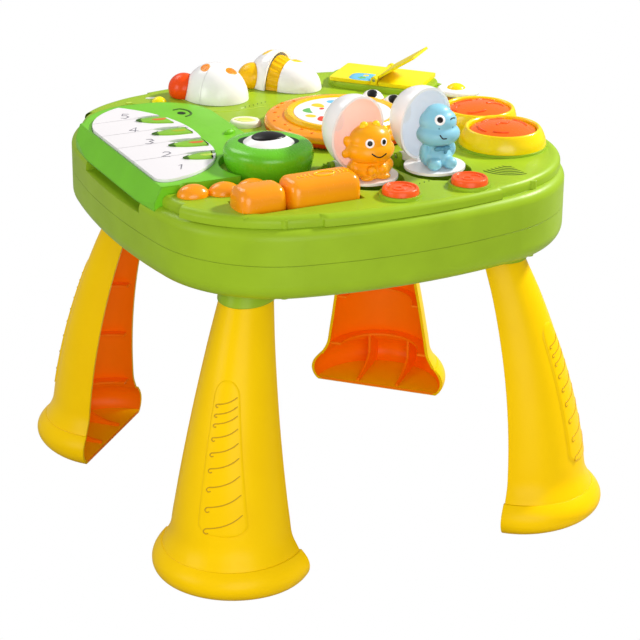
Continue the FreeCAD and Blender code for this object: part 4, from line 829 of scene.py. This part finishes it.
def roller(name, x0, x1, radius, body, node, sides):
    rows, cols = 40, 120
    verts = []
    middle, span = 0.5 * (x0 + x1), 0.5 * (x1 - x0)
    for i in range(rows + 1):
        x = math.sin(math.pi * (i / rows - 0.5)) * span
        over = max(0.0, abs(x) - (span - ROLLER_END)) / ROLLER_END
        r = radius * (0.02 + 0.98 * max(0.0, 1 - over ** END_POWER) ** (1 / END_POWER))
        for j in range(cols):
            a = 2 * math.pi * j / cols
            square = (abs(math.cos(a)) ** sides + abs(math.sin(a)) ** sides) ** (-1 / sides)
            verts.append((middle + x, r * square * math.cos(a), r * square * math.sin(a)))
    faces = band_faces(rows, cols)
    faces.append(tuple(range(cols)))
    faces.append(tuple(rows * cols + j for j in range(cols))[::-1])
    verts = place(verts, *AXLE_AT)
    make(name, verts, faces, ORANGE, body, replaces=(node,), angle=60)
    return surface_of(verts, faces)


roller("small_roller_skin", -152, -105.5, 16.8, "roller_small", "small_roller", 3.0)
big_tree = roller("large_roller_skin", -105.5, -34, 18.4, "roller_large", "large_roller", 3.6)
x0, y0, over_roller = -66, -157, 373
path = [skin(big_tree, (x0 + 9.5 * math.cos(t), y0 + 5.2 * math.sin(t), over_roller), (0, -0.1, 1), 0.2)
        for t in angles(36)]
v, f = tube(path, 1.1, 8, closed=True, flatten=0.7)
make("roller_ring", v, f, GOLD, "roller_large", angle=70)
lines = []
for side, count in ((-1, 4), (1, 3)):
    for k in range(count):
        x = x0 + side * (13.0 + 4.0 * k)
        lines.append(level([(x, y0 - 4.6 + 0.6 * k), (x + side * 1.4, y0), (x, y0 + 4.6 - 0.6 * k)], over_roller))
strokes("roller_arcs", big_tree, lines, 0.8, GOLD, "roller_large")


# Turntable: bun with darker dots for its sesame dimples and a darker red lower band, both painted shade, a printed
# disc, two round eyes
TABLE_AT = (38, 15)


def turn_at(r, a):
    return TABLE_AT[0] + r * math.cos(math.radians(a)), TABLE_AT[1] + r * math.sin(math.radians(a))


v, f = lathe([(0, 350.5)] + rounded([(70, 350.5), (74.6, 352, 2), (75, 356.0)], 4), 128)
make("turntable_bun_low", place(v, *TABLE_AT), f, BUN_SIDE_SHADE, "table", angle=50)
v, f = lathe([(0, 355.4)] + rounded([(74.5, 355.6), (75.4, 357.0, 1), (74.2, 361.4, 3), (66.0, 363.4, 4),
                                     (57.5, 363.0)], 6) + [(0, 363.0)], 128)
v = place(v, *TABLE_AT)
make("turntable_bun_top", v, f, ORANGE, "table", replaces=("turntable_body",), angle=50)
bun_tree = surface_of(v, f)
# Darker orange dots for the bun's small dimples: painted shade in the dimples
DIMPLE_SHADE = plastic("seed", (0.98, 0.45, 0.02), rough=0.35, bevel=0)
DIMPLES = ((65, 150), (62, 163), (68, 172), (64, 186), (69, 198), (62, 205), (66, 218), (70, 232), (64, 243),
         (66, 135), (69, 122), (63, 112), (67, 258), (63, 275))
parts = []
for k, (r, a) in enumerate(DIMPLES):
    x, y = turn_at(r, a)
    p = skin(bun_tree, (x, y, 364), UP, 0.1)
    v, f = ellipsoid(1.9, 1.1, 0.7, 16, 8)
    parts.append((place(v, *p, turn=a * 2.3 + 40 * k), f))
v, f = join(parts)
make("turntable_dimple_shade", v, f, DIMPLE_SHADE, "table", angle=80)
disc_tree = tree_of("picture_disc")
PRINTS = {
    "red": plastic("print_red", (0.90, 0.28, 0.18), rough=0.4, bevel=0),
    "green": plastic("print_green", (0.42, 0.72, 0.38), rough=0.4, bevel=0),
    "yellow": plastic("print_yellow", (0.98, 0.80, 0.15), rough=0.4, bevel=0),
    "brown": plastic("print_brown", (0.42, 0.20, 0.15), rough=0.4, bevel=0),
    "blue": SKY,
}


def blot(kind, size):
    """Outline of a plain printed shape."""
    out = []
    for t in angles(48):
        c, s = math.cos(t), math.sin(t)
        if kind == "drop":
            out.append((size * 0.7 * c * (1 - 0.35 * s), size * s))
        elif kind == "flower":
            petal = size * (0.78 + 0.22 * math.cos(5 * t))
            out.append((petal * c, petal * s))
        elif kind == "bean":
            out.append((size * c, size * (0.5 * s + 0.22 * math.cos(2 * t))))
        else:
            out.append((size * c, size * 0.8 * s))
    return out


DISC_PRINTS = (
    (30, 205, "drop", 8.0, "red"), (33, 240, "bean", 7.5, "brown"), (28, 275, "flower", 7.0, "green"),
    (34, 305, "oval", 6.5, "yellow"), (30, 335, "drop", 7.0, "blue"), (32, 10, "bean", 8.0, "green"),
    (31, 45, "flower", 7.5, "red"), (33, 80, "oval", 6.5, "blue"), (30, 115, "drop", 7.5, "yellow"),
    (33, 150, "bean", 8.0, "green"), (34, 180, "oval", 5.5, "yellow"), (10, 60, "flower", 8.0, "yellow"),
    (22, 222, "oval", 3.2, "yellow"), (41, 222, "oval", 2.6, "green"), (41, 258, "oval", 2.6, "red"),
    (22, 130, "oval", 3.0, "red"),
)
for k, (r, a, kind, size, ink) in enumerate(DISC_PRINTS):
    x, y = turn_at(r, a)
    flat_decal("disc_print_%02d" % k, disc_tree, (x, y, 366), blot(kind, size), PRINTS[ink], "turntable",
               0.18, a * 1.7, 3)
EYES_AT = ((90, 54), (101, 30))
EYE_Z = 360
parts = []
for x, y in EYES_AT:
    v, f = lathe([(0, 350.6), (11.6, 350.6), (11.9, EYE_Z)] + dome(11.9, 10.5, 12, EYE_Z), 64)
    parts.append((place(v, x, y), f))
v, f = join(parts)
make("turntable_eye_whites", v, f, WHITE, "table", replaces=("turntable_eyes",), angle=60)
eyes_tree = surface_of(v, f)
gaze = np.array((-0.25, -0.42, 0.87))
for k, (x, y) in enumerate(EYES_AT):
    decal("turntable_pupil_%d" % k, eyes_tree, np.array((x, y, EYE_Z)) + gaze * 11, gaze, oval_line(5.0, 6.2, 40),
          BLACK, "table", lift=0.3)


# Pop-up eggs: tinted insides with a painted glow, and the two figures
def tone_shell(node, mat, opening):
    """Tint the faces that look towards the middle of the shell, but not its rim or foot; the tint carries a
    painted glow.
    """
    me = NODES[node].data
    me.materials.append(mat)
    for p in me.polygons:
        q, n = np.array(p.center) / MM, np.array(p.normal)
        away = (q - opening) / (np.linalg.norm(q - opening) + 1e-6)
        if n @ away < -0.05 and n[1] > -0.93 and q[2] > 357:
            p.material_index = 1


tone_shell("egg_shell_left", PINK, np.array((-13.0, -105.0, 390.0)))
tone_shell("egg_shell_right", GREY, np.array((56.0, -106.0, 390.0)))
FIGURE_Z, FACE_Z = 353.7, 353.6
LEFT_AT, RIGHT_AT = (-7.9, -130.0), (60.4, -129.5)


def figure(name, spot, parts, mat, body, node):
    v, f = blob(parts, 0.8, 9)
    v[:, 2] = np.maximum(v[:, 2], 0.0)
    v = place(v, *spot, FIGURE_Z)
    make(name, v, f, mat, body, replaces=(node,), angle=80)
    return surface_of(v, f)


def ball(x, y, z, rx, ry=None, rz=None, turn=None):
    ry = rx if ry is None else ry
    rz = rx if rz is None else rz
    return ellipsoid(rx, ry, rz, 40, 20, (x, y, z), turn)


def drawn(tree, base, points):
    """Smooth line laid on a figure as the reference view sees it."""
    path = [seen(tree, base, a, b) for a, b in curve(points, 6)]
    return [p + n * 0.1 for p, n in path]


left = [
    ball(0, 0, 7.0, 20.5, 18.5, 11.0), ball(0, -1, 24.5, 23.0, 19.0, 13.5), ball(0, -0.5, 33.0, 19.5, 17.0, 15.0),
    ball(0, 0, 40.0, 13.0, 12.0, 9.0), ball(-6.5, -17.5, 9.5, 4.2, 3.4, 4.8), ball(4.5, -18.0, 9.5, 4.2, 3.4, 4.8),
    ball(-20.5, 4.0, 33.0, 3.6, 4.0, 5.0), ball(-23.0, 2.0, 22.0, 3.4, 4.0, 4.0),
    ball(19.5, 2.0, 36.0, 3.8, 4.0, 4.4), ball(-8.5, -14.5, 2.5, 7.0, 5.0, 2.8), ball(7, -15, 2.5, 7.0, 5.0, 2.8),
    ball(-17.0, -4.0, 10.0, 5.0, 5.0, 6.0), ball(16.0, -6.0, 10.0, 5.0, 5.0, 6.0),
]
fig = figure("figure_left_skin", LEFT_AT, left, FIG_O, "egg_left", "figure_left")
v, f = blob([ball(-6.5, -1, 46.5, 4.2, 3.6, 4.6), ball(4.5, -3, 46.8, 4.2, 3.6, 4.4),
             ball(13.0, -3.0, 41.5, 3.4, 3.2, 3.8), ball(0, 0, 42.5, 9, 7, 4.0)], 0.7, 4)
make("figure_left_crown", place(v, *LEFT_AT, FIGURE_Z), f, FIG_Y, "egg_left", angle=80)
base = (*LEFT_AT, FACE_Z)
for k, (sx, sy, ring_r, dot_r) in enumerate(((0.1, 25.5, 4.1, 2.6), (12.7, 27.6, 3.6, 2.5))):
    p, n = seen(fig, base, sx, sy)
    decal("figure_left_eye_ring_%d" % k, fig, p, n, oval_line(ring_r, ring_r, 36), WHITE, "egg_left",
          lift=0.2, rings=4)
    decal("figure_left_eye_%d" % k, fig, p, n, oval_line(dot_r * 0.95, dot_r, 36), BLACK, "egg_left",
          lift=0.42, rings=4)
v, f = tube(drawn(fig, base, [(1.7, 16.7), (5.9, 14.3), (10.2, 14.2), (15.0, 17.7)]), 0.62, 8)
make("figure_left_smile", v, f, BLACK, "egg_left", angle=80)

right = [
    ball(0, 0, 9.0, 15.5, 14.5, 11.5), ball(0, 0, 16.0, 12.0, 11.5, 9.5), ball(1.0, -1.5, 30.0, 20.8, 17.0, 11.5),
    ball(1.3, 0, 41.0, 17.6, 15.5, 13.0), ball(1.3, 0.5, 48.0, 12.5, 11.5, 9.0),
    ball(2.0, -8.0, 29.0, 13.0, 10.0, 8.5), ball(-8.5, -13.3, 5.2, 6.4, 7.2, 5.8),
    ball(6.8, -14.5, 5.2, 6.4, 7.2, 5.8), ball(-14.0, -3.0, 15.0, 4.2, 4.6, 7.0),
    ball(13.5, -4.0, 15.0, 4.2, 4.6, 7.0),
]
fig = figure("figure_right_skin", RIGHT_AT, right, FIG_B, "egg_right", "figure_right")
base = (*RIGHT_AT, FACE_Z)
p, n = seen(fig, base, 2.3, 38.0)
decal("figure_right_eye_ring", fig, p, n, oval_line(4.9, 4.9, 36), WHITE, "egg_right", lift=0.2,
      rings=4)
decal("figure_right_eye", fig, p, n, oval_line(2.9, 2.9, 36), BLACK, "egg_right", lift=0.42, rings=4)
for k, (points, radius) in enumerate((([(11.7, 38.6), (13.6, 40.4), (16.1, 40.8)], 0.6),
                                      ([(2.3, 24.5), (5.1, 21.4), (8.8, 21.6)], 0.62))):
    v, f = tube(drawn(fig, base, points), radius, 8)
    make("figure_right_line_%d" % k, v, f, BLACK, "egg_right", angle=80)
for k, (a, b) in enumerate(((1.7, 30.2), (14.3, 32.4))):
    p, n = seen(fig, base, a, b)
    decal("figure_right_nostril_%d" % k, fig, p, n, oval_line(0.9, 0.9, 16), BLUE_D, "egg_right",
          lift=0.15, rings=2)
v, f = blob([ball(-4.5, -12.6, 19.0, 4.2, 2.2, 2.2), ball(4.0, -12.6, 19.0, 4.2, 2.2, 2.2),
             ball(-0.3, -13.4, 18.8, 2.0, 2.0, 2.0), ball(2.8, -14.0, 16.0, 1.3, 1.3, 2.8, (25, "Y"))], 0.6, 3)
make("figure_right_bow", place(v, *RIGHT_AT, FIGURE_Z), f, BLUE_D, "egg_right", angle=80)


# Release buttons: rim, sunk face and a curl
for side, x, y in (("left", -3.5, -182.5), ("right", 65.5, -183.5)):
    v, f = lathe([(0, 344)] + rounded([(16.4, 344), (16.5, 350, 1), (16.5, 356.2), (15.6, 358.2, 2.2),
                                       (13.6, 358.3, 1.2), (13.0, 357.0, 0.8), (0, 356.8)], 5), 96)
    v = place(v, x, y)
    make("release_%s_pad" % side, v, f, RED, "release_" + side,
         replaces=("release_button_" + side,), angle=50)
    curl = [(x + 3.0 * math.cos(t) * (1 + 0.22 * t) - 2.0, y + 2.6 * math.sin(t) * (1 + 0.22 * t))
            for t in np.linspace(0.3, 5.6, 14)]
    bar = [(x + 5.0, y + 6.0), (x + 9.0, y + 3.0), (x + 10.0, y - 2.0)]
    dot = [(x - 9.0, y + 5.5), (x - 6.5, y + 7.5)]
    strokes("release_%s_relief" % side, surface_of(v, f), [level(line, 357) for line in (curl, bar, dot)], 0.85,
            RED, "release_" + side, lift=0.2)


# Drums: bowls with a thin rounded lip, and raised strokes on the pads
DRUMS = ((152, -93, 40.0, 35.0), (163, -28, 36.5, 33.5))
OVER_PAD = 372
for k, (x, y, low, high) in enumerate(DRUMS):
    outer = [(low + 0.6, 350.2), (low + 1.0, 352.0, 1.5), (low + 0.4, 358.5, 4), (high + 1.2, 367.0, 4),
             (high - 0.8, 368.4, 1.4), (high - 2.8, 367.0, 1.0), (high - 3.4, 362.0), (0, 362.0)]
    v, f = lathe(rounded(outer, 6), 128)
    make("drum_bowl_%d" % k, place(v, x, y), f, DRUM, "table",
         replaces=("drum_cups",) if k == 0 else (), angle=50)
x, y = DRUMS[0][:2]
lines = [arc(x, y, r, r, range(a, b, 8), OVER_PAD)
         for r, a, b in ((22, 60, 130), (23, 150, 200), (22, -20, 40), (21, 215, 262))]
lines.append(level([(x - 8 + 5 * k, y - 1 + (2.2 if k % 2 else -1.2)) for k in range(4)], OVER_PAD))
strokes("drum_front_relief", tree_of("drum_pad_front"), lines, 1.2, RED, "drum_front", lift=0.15)
x, y = DRUMS[1][:2]
lines = [arc(x + u, y + w, 12, 8, range(a, a + 110, 10), OVER_PAD)
         for u, w, a in ((-10, 10, 30), (12, 8, 20), (-8, -10, 200), (11, -10, 10), (-14, 0, 100))]
strokes("drum_back_relief", tree_of("drum_pad_back"), lines, 1.3, RED, "drum_back", lift=0.15)


# Fried egg: soft wavy white with a raised rim and a glossy yolk
v, f = lathe([(0, 359.4), (18.5, 359.4), (20.8, 360.4), (21.5, 362.2), (20.6, 364.3), (18.6, 365.4),
              (15.5, 365.3), (13.2, 364.6), (8, 364.6), (0, 364.6)], 96)
wave = np.array([1 + 0.03 * math.sin(3 * math.atan2(p[1], p[0])) for p in v])
v[:, 0] *= wave
v[:, 1] *= wave
make("fried_white_skin", place(v, 181, 43), f, WHITE, "fried_egg", replaces=("fried_egg_white",),
     angle=60)
v, f = lathe([(0, 364.0), (9.4, 364.0)] + dome(9.5, 4.4, 10, 364.6), 64)
make("fried_yolk_skin", place(v, 179, 45), f, DRUM, "fried_egg",
     replaces=("fried_egg_yolk",), angle=60)


# Sliding eggs: striped spots on the shells, and a pleated skirt round the right one's core
STRIPE = {
    "left": (plastic("spot_orange", (0.98, 0.60, 0.12), rough=0.3, bevel=0),
             plastic("spot_orange_dark", (0.90, 0.38, 0.06), rough=0.3, bevel=0)),
    "right": (plastic("spot_yellow", (0.99, 0.84, 0.16), rough=0.3, bevel=0),
              plastic("spot_yellow_dark", (0.96, 0.68, 0.06), rough=0.3, bevel=0)),
}
EGG_AT = {"left": (-33.0, 156.0, 352.0), "right": (44.0, 172.0, 352.0)}
SPOTS = (("left", "back", (-44.6, 155.6, 383.1)), ("left", "cap", (-22.4, 142.2, 378.7)),
         ("right", "back", (36.0, 181.0, 382.0)), ("right", "cap", (58.6, 160.0, 376.0)))
for side, part, spot in SPOTS:
    name = "slide_egg_%s_%s" % (side, part)
    body = "table" if part == "back" else "cap_" + side
    tree = tree_of(name)
    n = np.array(spot) - np.array(EGG_AT[side])
    n /= np.linalg.norm(n)
    p = skin(tree, spot, n)
    light_mat, dark_mat = STRIPE[side]
    decal(name + "_spot", tree, p, n, oval_line(7.2, 5.0, 40), light_mat, body, lift=0.2, rings=4,
          turn=-20)
    u = np.cross(UP, n)
    u /= np.linalg.norm(u)
    w = np.cross(n, u)
    for k in (-1, 0, 1):
        tall = w * (3.2 if k == 0 else 2.4)
        line = [skin(tree, p + u * (3.6 * k - 0.8) + tall, n, 0.3),
                skin(tree, p + u * (3.6 * k + 0.8) - tall, n, 0.3)]
        v, f = tube(line, 0.8, 6, flatten=0.4)
        make("%s_stripe_%d" % (name, k + 1), v, f, dark_mat, body, angle=80)


def skirt(name, body, x, y, start, near, far, length):
    """Pleated half-round band; near and far are its half width and height at either end."""
    rows, cols, pleats = 14, 120, 26
    verts = []
    for i in range(rows + 1):
        u = i / rows
        w, h = near[0] * (1 - u) + far[0] * u, near[1] * (1 - u) + far[1] * u
        for j in range(cols + 1):
            a = math.pi * j / cols
            r = 1 + 0.022 * math.cos(a * pleats) * min(1, 4 * u + 0.3)
            verts.append((w * r * math.cos(a), start + u * -length, max(h * r * math.sin(a), 0.4)))
    make(name, place(verts, x, y, DECK, 34), sheet_faces(rows, cols), GOLD, body, angle=70)


skirt("slide_right_skirt", "cap_right", 44, 172, 0.6, (25.0, 30.2), (23.0, 25.0), 13.4)


# Housing and deck: swirl, nub, leaf, crease and small marks
OVER_HOUSING, OVER_DECK = 358, 351
deck = tree_of("upper_case", "keyboard_housing")
swirl = level([(-98, 111), (-91, 112), (-87, 108), (-85, 102), (-86, 94), (-90, 89), (-95, 87)], OVER_HOUSING)
strokes("housing_swirl", deck, [swirl], 1.2, SHADE, "table", lift=0.0)
flat_decal("housing_swirl_eye", deck, (-94, 99, OVER_HOUSING), oval_line(4.0, 4.6, 30), TIP, "table",
           0.4, rings=3)
v, f = ellipsoid(7.0, 3.8, 3.4, 32, 16)
make("housing_nub", place(v, -77, 23, 358.0, 28), f, BRIGHT, "table", angle=80)
WHITE_LEAF = plastic("leaf_white", (0.93, 0.96, 0.86), rough=0.35, bevel=0)
outline = [(6.5 * math.cos(t), 3.0 * math.sin(t) * (1 - 0.3 * math.cos(t))) for t in angles(30)]
flat_decal("deck_leaf", deck, (-92, 180, OVER_DECK), outline, WHITE_LEAF, "table", 0.35, -20)
crease = level([(-67, 165), (-61, 138), (-53, 113), (-28, 107), (1, 109)], OVER_DECK)
strokes("deck_crease", deck, [crease], 0.7, LIME, "table", lift=0.0)
for k, dx in enumerate((-14, -9, -4, 1, 6, 11)):
    dy = 0.3 * dx
    mark = level([(-6 + dx, 117 + dy), (-5 + dx, 119.5 + dy)], OVER_DECK)
    strokes("deck_mark_%d" % k, deck, [mark], 0.5, SHADE, "table", lift=0.05)
    mark = level([(31 + dx * 1.1, -161 + dy), (32.5 + dx * 1.1, -158.5 + dy)], OVER_DECK)
    strokes("front_mark_%d" % k, deck, [mark], 0.5, SHADE, "table", lift=0.05)


# Speaker grille: painted shade, dark strokes in the bottoms of its slots
for k in range(6):
    r = (k + 1) * 4.6 + 3 - 0.9
    v, f = tube(arc(126, -147, r, r, np.linspace(194, 274, 12), 349.9), 0.95, 6, flatten=0.3)
    make("grille_slot_shade_%d" % k, v, f, TIP, "table", angle=60)


# Book: a printed patch on the lying cover
OVER_BOOK = 367
cover = tree_of("book_cover", "book_base")
flat_decal("book_patch", cover, (120, 131, OVER_BOOK), oval_line(14.5, 12.5, 48, 3.2), SKY, "table", 0.2,
           -45, 3)
flat_decal("book_patch_star", cover, (117, 129, OVER_BOOK), blot("flower", 5.5), PRINTS["green"], "table",
           0.35, rings=3)
flat_decal("book_patch_dot", cover, (124, 134, OVER_BOOK), blot("oval", 3.6), PRINTS["yellow"], "table",
           0.35, rings=3)

camera()
studio()
